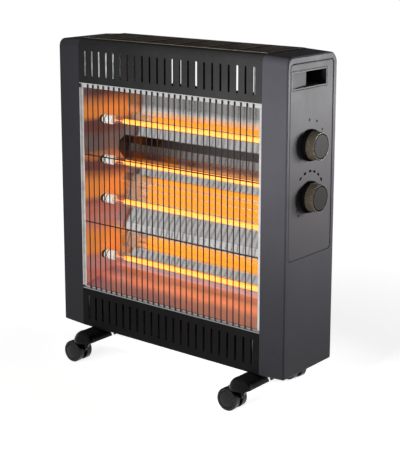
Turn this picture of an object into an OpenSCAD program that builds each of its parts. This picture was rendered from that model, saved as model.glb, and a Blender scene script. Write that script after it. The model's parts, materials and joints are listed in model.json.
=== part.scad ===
// Free-standing halogen heater on four swivel castors, as a bench assembly of separate pieces.
// Millimetres. The origin is on the floor under the middle of the whole heater, knobs and castors included.
// +X points to the control side, -Y to the glowing front, +Z up.

/* [Body] */
// Width of the body over both end caps
body_w = 480; // [450:5:520]
// Depth of the body from front face to rear face
body_d = 135; // [130:1:150]
// Height of an end cap at its outer face
body_h = 505; // [495:5:540]
// Height of the end caps' lower edge above the floor
ground_gap = 62; // [59:0.5:70]
// Width of each moulded end cap
cap_w = 47; // [44:1:52]
// Wall of the moulded end caps
cap_wall = 2.6; // [2:0.1:3.2]
// How much an end cap grows, above and below, from its outer face to its seam
cap_draft = 2.5; // [1:0.5:3.5]
// Bevel round the outer face of an end cap
cap_bevel = 2; // [1:0.5:3]
// Radius of the front top edge
front_edge_r = 13; // [9:1:16]
// Radius of the rear top edge
rear_edge_r = 18; // [12:1:22]
// Radius of the lower front and rear edges
foot_edge_r = 4; // [3:0.5:6]
// Thickness of the folded steel sheet panels
sheet_t = 1; // [0.8:0.1:1.2]
// Thickness of the galvanised side plates
plate_t = 1.2; // [1:0.1:1.6]
// Width of the folded flanges of the side plates
flange_w = 14; // [12:1:16]
// Gap left at the seams between neighbouring panels
seam_gap = 0.3; // [0.2:0.05:0.4]

// Width of the lips folded in above and below the window
lip_w = 8; // [7:0.5:10]

/* [Window] */
// Height of the window's lower edge above the underside of the body
window_sill = 70; // [66:1:74]
// Height of the front panel above the window
window_head = 75; // [72:0.5:80]
// Width of the bright strips beside the window
trim_side_w = 6; // [5:0.5:8]
// Height of the bright strip above the window
trim_top_h = 8; // [6:0.5:9]
// Height of the bright strip below the window
trim_bottom_h = 4.5; // [4:0.5:6]
// Thickness of the bright strips
trim_t = 1.2; // [1:0.1:1.5]
// Depth of the strips' face behind the front face
trim_setback = 3.3; // [3.2:0.1:4]

/* [Guard] */
// Number of upright guard wires
wire_count = 30; // [26:1:31]
// Diameter of a guard wire
wire_d = 2; // [1.6:0.1:2.2]
// Distance from a cross wire's end to the nearest upright wire
wire_edge = 11; // [9:0.5:14]
// Depth that crossing wires are welded into each other
wire_weld = 0.3; // [0.2:0.05:0.4]
// Drop of the upper cross wire below the window's top
cross_upper_drop = 124.5; // [110:0.5:140]
// Rise of the lower cross wire above the window's sill
cross_lower_rise = 121.5; // [110:0.5:140]

/* [Slots] */
// Number of slots in each front panel
slot_count = 23; // [19:1:23]
// Width of a front slot
slot_w = 4; // [3:0.5:6]
// Length of a front slot
slot_h = 43.5; // [36:0.5:45]
// Distance from a front panel's end to the middle of its last slot
slot_edge = 14.5; // [12:0.5:20]
// Distance from the window to the nearest end of a slot
slot_margin = 11.8; // [9:0.1:12]

/* [Top grille] */
// Thickness of the top grille
grille_t = 2.2; // [1.8:0.1:3]
// How far the grille stands above the end caps
grille_rise = 1; // [0.5:0.1:1.5]
// Number of vent fields across the grille
field_count = 6; // [4:1:8]
// Width of a rib between vent fields
rib_w = 6; // [4:0.5:8]
// How far a rib stands above the slats
rib_rise = 0.8; // [0.4:0.1:1.2]
// Number of slots in a vent field
vent_rows = 9; // [6:1:10]
// Width of a slat between slots
slat_w = 4; // [3:0.5:5]
// Plain border in front of and behind the vent fields
grille_border = 5; // [4:0.5:8]

/* [Rear panel] */
// Number of slots in each rear vent group
rear_slot_count = 7; // [5:1:8]
// Distance between rear slots
rear_slot_pitch = 11; // [10:0.5:12]
// Width of a rear slot
rear_slot_w = 5; // [4:0.5:6]
// Length of a rear slot
rear_slot_h = 50; // [30:1:52]
// Distance from the middle of the body to a vent group's middle
rear_vent_x = 77; // [70:1:90]
// Height of the upper vent groups' middle above the underside
rear_vent_upper = 452; // [445:1:460]
// Height of the lower vent groups' middle above the underside
rear_vent_lower = 60; // [55:1:70]

/* [Reflector] */
// Thickness of the polished reflector sheet
reflector_t = 0.8; // [0.6:0.1:1]
// Depth of the deepest trough behind the front face
trough_back = 80; // [78:0.5:82]
// How far the left side wall slants inwards over its depth
back_left_inset = 38; // [34:0.5:41]
// How far the right side wall slants inwards over its depth
back_right_inset = 8; // [7.5:0.5:11]
// Window height that the tubes' spacing and the reflector's bends are drawn for
drawn_window_h = 365; // [360:1:370]

/* [Heating tubes] */
// Drop of the first tube below the window's top
tube_drop = 65.5; // [63:0.5:69]
// Distance from the first tube to the second
tube_step_1 = 71; // [68:0.5:74]
// Distance from the second tube to the third
tube_step_2 = 70; // [67:0.5:73]
// Distance from the third tube to the fourth
tube_step_3 = 101.5; // [96:0.5:104]
// Depth of the tubes' centre line behind the front face
tube_depth = 40; // [37:0.5:42]
// Outer diameter of a quartz tube
tube_d = 11; // [10:0.5:12]
// Wall of a quartz tube
tube_wall = 1; // [0.8:0.1:1.2]
// Distance from the left side plate to a tube's left end
tube_left_inset = 30.5; // [29.5:0.5:33]
// Distance from the right side plate to a tube's right end
tube_right_inset = 14.5; // [14:0.5:16]
// Radial gap between the heating coil and its quartz tube
coil_gap = 0.5; // [0.3:0.1:1]
// Distance from a tube's left end to the glowing coil
coil_margin_left = 27; // [20:1:30]
// Distance from a tube's right end to the glowing coil
coil_margin_right = 14; // [14:1:30]
// Diameter of the lead at each end of a coil
lead_d = 1.6; // [1.2:0.1:2]
// Diameter of a ceramic end cap
ceramic_d = 16; // [15:0.5:18]
// Length of a ceramic end cap
ceramic_len = 30; // [28:1:31]
// Depth that a tube sits in its ceramic end cap
ceramic_socket = 12; // [10:1:14]

/* [Controls] */
// Height of the selector knob's axis above the underside
selector_height = 368.5; // [360:0.5:376]
// Height of the thermostat knob's axis above the underside
thermostat_height = 287; // [280:0.5:294]
// Offset of both knobs' axes behind the middle of the body
knob_y = -4.5; // [-6:0.5:3]
// Diameter of a knob's grip
knob_d = 45; // [41:0.5:47]
// Diameter of a knob's skirt
knob_skirt_d = 50; // [48:1:54]
// Height of a knob above the panel gap
knob_h = 20.5; // [18:0.5:22]
// Height of a knob's skirt
knob_skirt_h = 6.5; // [5:0.5:8]
// Number of flutes round a knob's grip
knob_flutes = 28; // [16:2:36]
// Diameter of the control shafts
shaft_d = 6; // [5:0.5:7]
// Radial running clearance of shafts and pins
run_fit = 0.05; // [0.03:0.01:0.08]
// Radial clearance of a pressed pin
press_gap = 0.01; // [0.01:0.01:0.02]
// Diameter of the threaded bushes of the two controls
bush_d = 9.5; // [9:0.5:11]
// Width of the selector switch
switch_w = 34; // [30:1:38]
// Depth of the selector switch
switch_depth = 28; // [26:1:30]
// Diameter of the thermostat
thermostat_d = 40; // [36:1:44]
// Depth of the thermostat
thermostat_depth = 24; // [22:1:28]

/* [Control panel] */
// Thickness of the control panel
panel_t = 2; // [1.6:0.1:2.4]
// How far the panel's face lies below the end cap's face
panel_sink = 0.6; // [0.4:0.1:1]
// Height of the control panel
panel_h = 306.5; // [300:0.5:315]
// Distance from the end cap's top to the panel
panel_top_margin = 10; // [8:0.5:12]
// Distance from the front face to the panel
panel_front_margin = 7; // [6:0.5:9]
// Distance from the rear face to the panel
panel_rear_margin = 9.5; // [8:0.5:12]
// Corner radius of the panel
panel_corner_r = 8; // [5:0.5:10]
// Groove left round the control panel
panel_groove = 1.2; // [0.8:0.1:1.6]

/* [Handles] */
// Width of a handle opening
handle_w = 96; // [90:1:100]
// Height of a handle opening
handle_h = 28.5; // [26:0.5:30]
// Distance from the panel's top to the handle opening
handle_drop = 12; // [10:0.5:14]
// Distance from the panel's front edge to the handle opening
handle_margin = 4.5; // [3.5:0.5:8]
// Width of the deep pocket in a handle cup
pocket_w = 43; // [38:1:50]
// Depth of the deep pocket
pocket_depth = 33; // [28:1:34]
// Depth of the finger ramp where it meets the pocket
ramp_depth = 9; // [6:0.5:11]
// Depth of the finger ramp at its front end
ramp_start = 2.4; // [2:0.2:3]
// Wall of a handle cup
cup_wall = 2; // [1.6:0.1:2.4]

/* [Feet] */
// Distance from a side panel's inner edge to the middle of the foot under it
foot_inset = 20.5; // [18.5:0.5:24]
// Distance from the middle of the body to each castor stem
stem_y = 83; // [80:1:88]
// Radius of a foot's half-round bar
bar_r = 19; // [17:0.5:20]
// Radius of the round ends of the bar
bar_end_r = 19.5; // [18:0.5:21]
// How far the centre of a round end stands beyond the castor stem
bar_end_out = 3; // [1:0.5:5]
// Gap between the bar's crest and the body, outside the pad
bar_gap = 1; // [0.6:0.1:1.6]
// Wall of the hollow bar
bar_wall = 3.5; // [3:0.5:4]
// Width of the mounting pad on top of a foot
pad_w = 52; // [46:1:60]
// Length of the mounting pad
pad_len = 96; // [88:1:100]
// Thickness of the mounting pad
pad_t = 3.5; // [3:0.5:4]
// Distance from the middle of a foot to its screws, across
foot_screw_x = 15; // [14:0.5:16]
// Distance from the middle of a foot to its screws, front to rear
foot_screw_y = 34; // [30:0.5:36]

/* [Castors] */
// Diameter of a castor wheel
wheel_d = 38; // [36:0.5:39]
// Width of one wheel
wheel_w = 13; // [11:0.5:14]
// Gap between the two wheels of a castor
wheel_gap = 8; // [7:0.5:9]
// Distance from the swivel axis to the wheel axle
castor_trail = 20; // [19:0.5:22]
// Turn of the rear right castor, as it stands
rear_castor_turn = 10; // [0:2:40]
// Diameter of a castor stem
stem_d = 8; // [7:0.5:9]
// Diameter of a castor axle
axle_d = 5; // [4:0.5:6]
// Gap between a castor's collar and its foot
collar_gap = 0.4; // [0.3:0.05:0.6]
// Height of the collar on top of a castor horn
collar_h = 3; // [2.5:0.1:3.5]
// Gap between the wheels' top and the collar
wheel_clear = 0.8; // [0.6:0.1:1.2]

/* [Electrical pieces] */
// Height of the thermal cut-out above the selector knob's axis
cutout_rise = 50; // [45:1:60]
// Diameter of the thermal cut-out's flange
cutout_flange_d = 24; // [20:1:26]
// Diameter of the thermal cut-out's body
cutout_d = 16; // [14:1:18]
// Height of the thermal cut-out
cutout_h = 8; // [7:0.5:10]
// Height of the tilt switch and the terminal block above the underside
block_height = 58; // [50:1:70]
// Height of the tilt switch
tilt_h = 32; // [28:1:36]
// Width of the tilt switch
tilt_w = 22; // [18:1:24]
// Depth of the tilt switch
tilt_depth = 16; // [14:1:18]
// Place of the terminal block behind the middle of the body
block_y = 18; // [14:1:24]
// Height of the terminal block
block_h = 36; // [34:1:42]
// Width of the terminal block
block_w = 20; // [18:1:24]
// Depth of the terminal block
block_depth = 15; // [13:1:18]
// Distance between the terminals
block_pitch = 12; // [11:0.5:12]
// Diameter of a terminal's screw recess
block_screw_d = 6; // [5:0.5:7]
// Depth of the terminals' recesses, from the side panel
block_screw_depth = 5; // [4:0.5:6]
// Diameter of an insulated wire
wire_size = 2.4; // [2:0.1:2.6]
// Diameter of the bus wire
bus_d = 3; // [2.5:0.1:3.5]
// How far the wires run below the part that they lead to
wire_clear = 12; // [10:1:16]

/* [Cable gland] */
// Bore of the supply cable's gland
gland_bore_d = 8.5; // [7:0.5:9]
// Diameter of the gland's body
gland_d = 15.5; // [14:0.5:18]
// Length of the gland
gland_len = 18; // [16:1:22]
// Distance from the middle of the body to the gland
gland_x = 150; // [120:1:160]
// Height of the gland above the underside
gland_height = 38; // [34:1:42]

/* [Screws] */
// Diameter of a screw's shank
screw_d = 3.9; // [3.5:0.1:4]
// Diameter of a screw's head
screw_head_d = 7.2; // [6.5:0.1:8]
// Height of a screw's head
screw_head_h = 2; // [1.6:0.1:2.4]
// Length of an end cap's screws
cap_screw_len = 10; // [8:0.5:12]
// Length of the rear panel's screws
rear_screw_len = 8; // [7:0.5:10]
// Diameter of a clearance hole for a screw
screw_hole_d = 4.3; // [4.2:0.1:4.6]

/* [Hidden] */
$fn = 48;
arc_steps = 10;
eps = 0.01;
cut = 1;

half_w = body_w / 2;
half_d = body_d / 2;
base_z = ground_gap - cap_draft;
top_z = ground_gap + body_h + cap_draft;
seam_x = half_w - cap_w;
inner_x = seam_x - seam_gap;
plate_x = inner_x - plate_t;
cap_side_t = panel_t + panel_sink + cap_wall;
floor_x = half_w - cap_side_t;
panel_x = half_w - panel_sink;

window_z0 = base_z + window_sill;
window_z1 = top_z - window_head;
window_h = window_z1 - window_z0;
drawn_k = window_h / drawn_window_h;
trim_y = -half_d + trim_setback;
trim_back_y = trim_y + trim_t;
wire_y = trim_y - wire_d / 2 - run_fit;
slot_pitch = 2 * (inner_x - slot_edge) / (slot_count - 1);
cross_z = [window_z1 - cross_upper_drop, window_z0 + cross_lower_rise];

grille_z = top_z + grille_rise - grille_t;
grille_y0 = -half_d + front_edge_r + 1 + seam_gap;
grille_y1 = half_d - rear_edge_r - 1 - seam_gap;

tube_y = -half_d + tube_depth;
tube_z = [
    window_z1 - tube_drop * drawn_k,
    window_z1 - (tube_drop + tube_step_1) * drawn_k,
    window_z1 - (tube_drop + tube_step_1 + tube_step_2) * drawn_k,
    window_z1 - (tube_drop + tube_step_1 + tube_step_2 + tube_step_3) * drawn_k];
tube_left = inner_x - tube_left_inset;
tube_right = inner_x - tube_right_inset;
ceramic_out = ceramic_len - ceramic_socket;
coil_d = tube_d - 2 * tube_wall - 2 * coil_gap;
trough_y = -half_d + trough_back;
wall_top_z = window_z1 - trim_top_h + 3;
wall_bottom_z = window_z0 + trim_bottom_h + 0.5;
wall_front_y = trim_back_y + 0.1;
wall_front_x = plate_x - seam_gap;
back_left_x = wall_front_x - back_left_inset;
back_right_x = wall_front_x - back_right_inset;
bus_x = -tube_left - ceramic_out - 5;
lead_right_x = tube_right + ceramic_out + 6;

panel_y0 = -half_d + panel_front_margin;
panel_y1 = half_d - panel_rear_margin;
panel_z1 = ground_gap + body_h - panel_top_margin;
panel_z0 = panel_z1 - panel_h;
handle_y0 = panel_y0 + handle_margin;
handle_y1 = handle_y0 + handle_w;
handle_z1 = panel_z1 - handle_drop;
handle_z0 = handle_z1 - handle_h;
selector_z = base_z + selector_height;
thermostat_z = base_z + thermostat_height;
bush_len = panel_x - floor_x + 4;
nut_t = 2.5;
nut_flats = 14;
knob_x = panel_x + 0.8;
knob_roof = 3;
knob_cavity = 4.3;
shaft_end_x = knob_x + knob_h - knob_roof - 0.2;

foot_x = inner_x - foot_inset;
bar_z = base_z - bar_gap - bar_r;
axle_z = wheel_d / 2;
collar_z = wheel_d + wheel_clear - 2;
collar_top_z = collar_z + collar_h;
arm_z = collar_top_z + collar_gap;
collar_r = castor_trail - sqrt(pow(axle_z, 2) - pow(collar_z - axle_z - wheel_clear / 2, 2)) - 0.4;
socket_depth = 8;
stem_sink = 14;
castor_names = ["fl", "fr", "rl", "rr"];
castor_spots = [[-1, -1, 0], [1, -1, 0], [-1, 1, 0], [1, 1, rear_castor_turn]];

cap_screw_z = [base_z + 40, top_z - 60];
rear_screw_z = [base_z + 40, (base_z + top_z) / 2, top_z - 60];
tab_len = 15;

front_reach = stem_y + bar_end_out + bar_end_r;
rear_reach = stem_y + (castor_trail + wheel_d / 2 - 2.6) * sin(rear_castor_turn)
    + (wheel_gap / 2 + wheel_w - 1) * cos(rear_castor_turn);
body_shift = [(half_w - knob_x - knob_h) / 2, min(0, front_reach - rear_reach) / 2, 0];

// Points of an arc round [cx, cy], from angle a0 to a1
function arc(cx, cy, r, a0, a1) =
    [for (i = [0 : arc_steps]) let (a = a0 + (a1 - a0) * i / arc_steps) [cx + r * cos(a), cy + r * sin(a)]];

// Outline of the body from the side, as [y, z] points, set in by inset
function section(z0, z1, inset) = concat(
    arc(-half_d + foot_edge_r, z0 + foot_edge_r, foot_edge_r - inset, 270, 180),
    arc(-half_d + front_edge_r, z1 - front_edge_r, front_edge_r - inset, 180, 90),
    arc(half_d - rear_edge_r, z1 - rear_edge_r, rear_edge_r - inset, 90, 0),
    arc(half_d - foot_edge_r, z0 + foot_edge_r, foot_edge_r - inset, 0, -90));

// Moves a piece from the body's own middle to where it stands in the frame
module placed() {
    translate(body_shift) children();
}

// Stands a 2D [y, z] shape up and extrudes it from x0 to x1
module along_x(x0, x1) {
    translate([x0, 0, 0]) rotate([90, 0, 90]) linear_extrude(x1 - x0) children();
}

// Box between two corners
module box(low, high) {
    translate(low) cube(high - low);
}

// Round rod along X between x0 and x1
module rod_x(x0, x1, y, z, d) {
    translate([x0, y, z]) rotate([0, 90, 0]) cylinder(d = d, h = x1 - x0);
}

// Round rod along Y between y0 and y1
module rod_y(y0, y1, x, z, d) {
    translate([x, y0, z]) rotate([-90, 0, 0]) cylinder(d = d, h = y1 - y0);
}

// Rectangle with round corners between two corners
module round_rect(low, high, r) {
    translate([low[0] + r, low[1]]) square([high[0] - low[0] - 2 * r, high[1] - low[1]]);
    translate([low[0], low[1] + r]) square([high[0] - low[0], high[1] - low[1] - 2 * r]);
    for (x = [low[0] + r, high[0] - r], y = [low[1] + r, high[1] - r]) translate([x, y]) circle(r);
}

// Upright slot with round ends, cut through in Y
module slot_y(x, z0, z1, w, y0, y1) {
    box([x - w / 2, y0, z0 + w / 2], [x + w / 2, y1, z1 - w / 2]);
    for (z = [z0 + w / 2, z1 - w / 2]) rod_y(y0, y1, x, z, w);
}

// Row of upright slots about x
module slot_row(x, count, pitch, z0, z1, w, y0, y1) {
    for (i = [0 : count - 1]) slot_y(x + (i - (count - 1) / 2) * pitch, z0, z1, w, y0, y1);
}

// ---- Chassis and sheet panels ----

module base_plate() {
    edge_y = half_d - foot_edge_r - seam_gap;
    vent_y = 4 - edge_y;
    color([0.25, 0.25, 0.26]) difference() {
        box([-inner_x, -edge_y, base_z], [inner_x, edge_y, base_z + sheet_t]);
        for (x = [-1, 1], dx = [-1, 1], dy = [-1, 1])
            translate([x * foot_x + dx * foot_screw_x, dy * foot_screw_y, base_z - cut])
                cylinder(d = screw_hole_d, h = sheet_t + 2 * cut);
        for (i = [-11 : 11])
            box([i * 12 - 2.5, vent_y, base_z - cut], [i * 12 + 2.5, vent_y + 18, base_z + sheet_t + cut]);
    }
}

// Side plate with folded flanges, on the right; the left one is its mirror image
module side_plate() {
    flange_x = inner_x - flange_w;
    flange_y = half_d - sheet_t;
    rear_z0 = base_z + 20;
    rear_z1 = top_z - rear_edge_r - 6;
    tab_y = half_d - cap_wall;
    difference() {
        union() {
            along_x(plate_x, inner_x) polygon(section(base_z, top_z, sheet_t + seam_gap));
            box([flange_x, -half_d / 2 - 12, base_z + sheet_t],
                [inner_x, half_d / 2 + 12, base_z + sheet_t + plate_t]);
            box([flange_x, grille_y0 + 6, grille_z - plate_t], [inner_x, grille_y1 - 6, grille_z]);
            box([flange_x, flange_y - plate_t, rear_z0], [inner_x, flange_y, rear_z1]);
            box([flange_x, -flange_y, rear_z0 - 8], [inner_x, -flange_y + plate_t, window_z0 - 6]);
            box([flange_x, -flange_y, window_z1 + 6],
                [inner_x, -flange_y + plate_t, top_z - front_edge_r - 4]);
            for (z = cap_screw_z)
                box([plate_x, tab_y - plate_t, z - 8], [seam_x + tab_len, tab_y, z + 8]);
        }
        for (z = tube_z) rod_x(plate_x - cut, inner_x + cut, tube_y, z, ceramic_d + 6);
        box([plate_x - cut, -half_d - cut, window_z0 - seam_gap],
            [inner_x + cut, trim_back_y + seam_gap, window_z1 + seam_gap]);
        for (z = [window_z0 - sheet_t - 2 * seam_gap, window_z1])
            box([plate_x - cut, -half_d - cut, z],
                [inner_x + cut, -half_d + lip_w + seam_gap, z + sheet_t + 2 * seam_gap]);
        for (dy = [-1, 1])
            translate([foot_x + foot_screw_x, dy * foot_screw_y, base_z]) cylinder(d = screw_hole_d, h = 10);
        for (z = cap_screw_z)
            rod_y(tab_y - plate_t - cut, tab_y + cut, seam_x + tab_len / 2, z, screw_hole_d);
        for (z = rear_screw_z)
            rod_y(flange_y - plate_t - cut, flange_y + cut, inner_x - flange_w / 2, z, screw_hole_d);
    }
}

module left_side_plate() {
    color([0.72, 0.73, 0.74]) mirror([1, 0, 0]) side_plate();
}

module right_side_plate() {
    color([0.72, 0.73, 0.74]) side_plate();
}

module front_top_panel() {
    cy = -half_d + front_edge_r;
    cz = top_z - front_edge_r;
    z0 = window_z1 + seam_gap;
    profile = concat(
        [[-half_d, z0]], arc(cy, cz, front_edge_r, 180, 90), [[cy + 1, top_z], [cy + 1, top_z - sheet_t]],
        arc(cy, cz, front_edge_r - sheet_t, 90, 180),
        [[-half_d + sheet_t, z0 + sheet_t], [-half_d + lip_w, z0 + sheet_t], [-half_d + lip_w, z0]]);
    color([0.13, 0.13, 0.14]) difference() {
        along_x(-inner_x, inner_x) polygon(profile);
        slot_row(0, slot_count, slot_pitch, window_z1 + slot_margin, window_z1 + slot_margin + slot_h,
            slot_w, -half_d - cut, -half_d + sheet_t + cut);
    }
}

module front_bottom_panel() {
    cy = -half_d + foot_edge_r;
    cz = base_z + foot_edge_r;
    z1 = window_z0 - seam_gap;
    profile = concat(
        [[-half_d, z1], [-half_d + lip_w, z1], [-half_d + lip_w, z1 - sheet_t],
            [-half_d + sheet_t, z1 - sheet_t]],
        arc(cy, cz, foot_edge_r - sheet_t, 180, 270), arc(cy, cz, foot_edge_r, 270, 180));
    color([0.13, 0.13, 0.14]) difference() {
        along_x(-inner_x, inner_x) polygon(profile);
        slot_row(0, slot_count, slot_pitch, window_z0 - slot_margin - slot_h, window_z0 - slot_margin,
            slot_w, -half_d - cut, -half_d + sheet_t + cut);
    }
}

module rear_panel() {
    ty = half_d - rear_edge_r;
    tz = top_z - rear_edge_r;
    by = half_d - foot_edge_r;
    bz = base_z + foot_edge_r;
    profile = concat(
        arc(by, bz, foot_edge_r, -90, 0), arc(ty, tz, rear_edge_r, 0, 90),
        [[ty - 1, top_z], [ty - 1, top_z - sheet_t]],
        arc(ty, tz, rear_edge_r - sheet_t, 90, 0), arc(by, bz, foot_edge_r - sheet_t, 0, -90));
    y0 = half_d - sheet_t - cut;
    y1 = half_d + cut;
    color([0.15, 0.15, 0.16]) difference() {
        along_x(-inner_x, inner_x) polygon(profile);
        for (side = [-1, 1], height = [rear_vent_upper, rear_vent_lower])
            slot_row(side * rear_vent_x, rear_slot_count, rear_slot_pitch, base_z + height - rear_slot_h / 2,
                base_z + height + rear_slot_h / 2, rear_slot_w, y0, y1);
        rod_y(y0, y1, gland_x, base_z + gland_height, gland_d + 2 * seam_gap);
        for (side = [-1, 1], z = rear_screw_z)
            rod_y(y0, y1, side * (inner_x - flange_w / 2), z, screw_hole_d);
    }
}

module top_grille() {
    field_w = (2 * inner_x - rib_w) / field_count;
    vent_y0 = grille_y0 + grille_border;
    row = (grille_y1 - grille_border - vent_y0 + slat_w) / vent_rows;
    color([0.16, 0.15, 0.14]) difference() {
        union() {
            box([-inner_x, grille_y0, grille_z], [inner_x, grille_y1, grille_z + grille_t - rib_rise]);
            for (y = [grille_y0, grille_y1 - 2])
                box([-inner_x, y, grille_z], [inner_x, y + 2, grille_z + grille_t]);
            for (i = [0 : field_count])
                box([-inner_x + i * field_w, grille_y0, grille_z],
                    [-inner_x + i * field_w + rib_w, grille_y1, grille_z + grille_t]);
        }
        for (i = [0 : field_count - 1], k = [0 : vent_rows - 1])
            box([-inner_x + i * field_w + rib_w, vent_y0 + k * row, grille_z - cut],
                [-inner_x + (i + 1) * field_w, vent_y0 + (k + 1) * row - slat_w, grille_z + grille_t + cut]);
    }
}

// ---- Window trims and guard ----

module top_trim() {
    color([0.86, 0.86, 0.85]) {
        box([-inner_x, trim_y, window_z1 - trim_top_h], [inner_x, trim_back_y, window_z1]);
        box([-inner_x, -half_d + seam_gap, window_z1 - trim_t], [inner_x, trim_y + eps, window_z1]);
    }
}

module bottom_trim() {
    color([0.86, 0.86, 0.85]) {
        box([-inner_x, trim_y, window_z0], [inner_x, trim_back_y, window_z0 + trim_bottom_h]);
        box([-inner_x, -half_d + seam_gap, window_z0], [inner_x, trim_y + eps, window_z0 + trim_t]);
    }
}

module side_trim() {
    z0 = window_z0 + trim_bottom_h + seam_gap;
    z1 = window_z1 - trim_top_h - seam_gap;
    box([inner_x - trim_side_w, trim_y, z0], [inner_x, trim_back_y, z1]);
    box([inner_x - trim_t, -half_d + seam_gap, z0], [inner_x, trim_y + eps, z1]);
}

module left_trim() {
    color([0.86, 0.86, 0.85]) mirror([1, 0, 0]) side_trim();
}

module right_trim() {
    color([0.86, 0.86, 0.85]) side_trim();
}

// Welded guard: upright wires in front, two cross wires sunk into their backs
module guard_wires() {
    end_x = inner_x - trim_side_w - seam_gap;
    first_x = wire_edge - end_x;
    wire_pitch = -2 * first_x / (wire_count - 1);
    z0 = window_z0 + trim_t + seam_gap;
    z1 = window_z1 - trim_t - seam_gap;
    color([0.08, 0.08, 0.08]) union() {
        for (i = [0 : wire_count - 1])
            translate([first_x + i * wire_pitch, wire_y, z0]) cylinder(d = wire_d, h = z1 - z0, $fn = 16);
        for (z = cross_z) rod_x(-end_x, end_x, wire_y + wire_d - wire_weld, z, wire_d);
    }
}

// ---- Reflector ----

// Bends of the reflector's back from top to bottom: which tube a bend goes by, how far above that
// tube it is, and how far it stands in front of the deepest trough
reflector_bends = [
    [0, 48, 0.5], [0, 26, 0], [0, 14, 0.5], [0, 2, 1.5], [0, -10, 2.5], [0, -20, 4], [0, -30, 6],
    [0, -42, 16.5], [1, 15, 18], [1, 3, 10.5], [1, -7, 4.5], [1, -17, 2], [1, -27, 4.5],
    [2, 30.5, 12], [2, 18.5, 9.5], [2, 6.5, 9], [2, -5.5, 10.5], [2, -17.5, 14.5], [2, -29.5, 18.5],
    [2, -41.5, 22], [3, 48, 23.5], [3, 36, 19], [3, 24, 15.5], [3, 12, 13.5], [3, 0, 17.5],
    [3, -12, 21.5], [3, -22, 25]];

// Front edge of the reflector from top to bottom, as [y, z] points
reflector_edge = concat(
    [[wall_front_y, wall_top_z]],
    [for (b = reflector_bends) [trough_y - b[2], tube_z[b[0]] + b[1] * drawn_k]],
    [[wall_front_y, wall_bottom_z]]);

module reflector() {
    back = [for (i = [len(reflector_edge) - 1 : -1 : 0]) reflector_edge[i] + [reflector_t, 0]];
    slope_left = (wall_front_x - back_left_x) / (trough_y - wall_front_y);
    slope_right = (wall_front_x - back_right_x) / (trough_y - wall_front_y);
    y1 = trough_y + reflector_t + cut;
    fit = reflector_t + seam_gap;
    color([0.85, 0.83, 0.8]) intersection() {
        along_x(-inner_x, inner_x) polygon(concat(reflector_edge, back));
        translate([0, 0, window_z0]) linear_extrude(window_h) polygon([
            [-wall_front_x + fit, wall_front_y], [wall_front_x - fit, wall_front_y],
            [wall_front_x - fit - slope_right * (y1 - wall_front_y), y1],
            [-wall_front_x + fit + slope_left * (y1 - wall_front_y), y1]]);
    }
}

// Slanted side wall on the right, from the window's edge to back_x at the troughs' backs
module reflector_wall(back_x) {
    y1 = trough_y + reflector_t;
    difference() {
        translate([0, 0, wall_bottom_z]) linear_extrude(wall_top_z - wall_bottom_z) polygon([
            [wall_front_x, wall_front_y], [wall_front_x - reflector_t, wall_front_y],
            [back_x - reflector_t, y1], [back_x, y1]]);
        for (z = tube_z) rod_x(back_x - 20, wall_front_x + 20, tube_y, z, ceramic_d + 2 * seam_gap);
    }
}

module reflector_left_wall() {
    color([0.85, 0.83, 0.8]) mirror([1, 0, 0]) reflector_wall(back_left_x);
}

module reflector_right_wall() {
    color([0.85, 0.83, 0.8]) reflector_wall(back_right_x);
}

// ---- Heating tubes ----

module heating_tube(i) {
    color([0.95, 0.9, 0.8, 0.4]) difference() {
        rod_x(-tube_left, tube_right, tube_y, tube_z[i], tube_d);
        rod_x(-tube_left - cut, tube_right + cut, tube_y, tube_z[i], tube_d - 2 * tube_wall);
    }
}

// Glowing coil with its straight leads; the coil is close wound, so it is one round rod
module heating_coil(i) {
    color([1, 0.75, 0.2]) {
        rod_x(-tube_left + coil_margin_left, tube_right - coil_margin_right, tube_y, tube_z[i], coil_d);
        rod_x(bus_x + 1.55, lead_right_x, tube_y, tube_z[i], lead_d);
    }
}

module ceramic_cap(x_in, x_out, z) {
    low = min(x_in, x_out);
    high = max(x_in, x_out);
    side = sign(x_out);
    socket_x = x_in + side * ceramic_socket;
    difference() {
        union() {
            rod_x(low, high, tube_y, z, ceramic_d - 2);
            rod_x(min(x_in + side * 3, x_out - side * 3), max(x_in + side * 3, x_out - side * 3),
                tube_y, z, ceramic_d);
        }
        rod_x(min(x_in - side * cut, socket_x), max(x_in - side * cut, socket_x), tube_y, z, tube_d + 0.2);
        rod_x(low - cut, high + cut, tube_y, z, lead_d + 0.2);
    }
}

module left_ceramic_caps() {
    color([0.95, 0.94, 0.9])
        for (z = tube_z) ceramic_cap(-tube_left + ceramic_socket, -tube_left - ceramic_out, z);
}

module right_ceramic_caps() {
    color([0.95, 0.94, 0.9])
        for (z = tube_z) ceramic_cap(tube_right - ceramic_socket, tube_right + ceramic_out, z);
}

// ---- End caps and handles ----

// Thin slice of the body's outline at x, for the hulls of an end cap
module cap_slice(x, z0, z1, inset) {
    along_x(x - eps, x) polygon(section(z0, z1, inset));
}

// Moulded shell on the right, open towards the seam
module cap_shell() {
    difference() {
        hull() {
            cap_slice(seam_x + eps, base_z, top_z, 0);
            cap_slice(half_w - cap_bevel, ground_gap, ground_gap + body_h, 0);
            cap_slice(half_w, ground_gap, ground_gap + body_h, cap_bevel);
        }
        hull() {
            cap_slice(seam_x, base_z, top_z, cap_wall);
            cap_slice(floor_x, ground_gap, ground_gap + body_h, cap_wall);
        }
    }
}

module cap_screw_holes() {
    for (z = cap_screw_z)
        rod_y(half_d - cap_wall - cut, half_d + cut, seam_x + tab_len / 2, z, screw_hole_d);
}

// Opening for a handle cup, through everything between x0 and x1
module handle_opening(x0, x1) {
    box([x0, handle_y0, handle_z0], [x1, handle_y1, handle_z1]);
}

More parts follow.
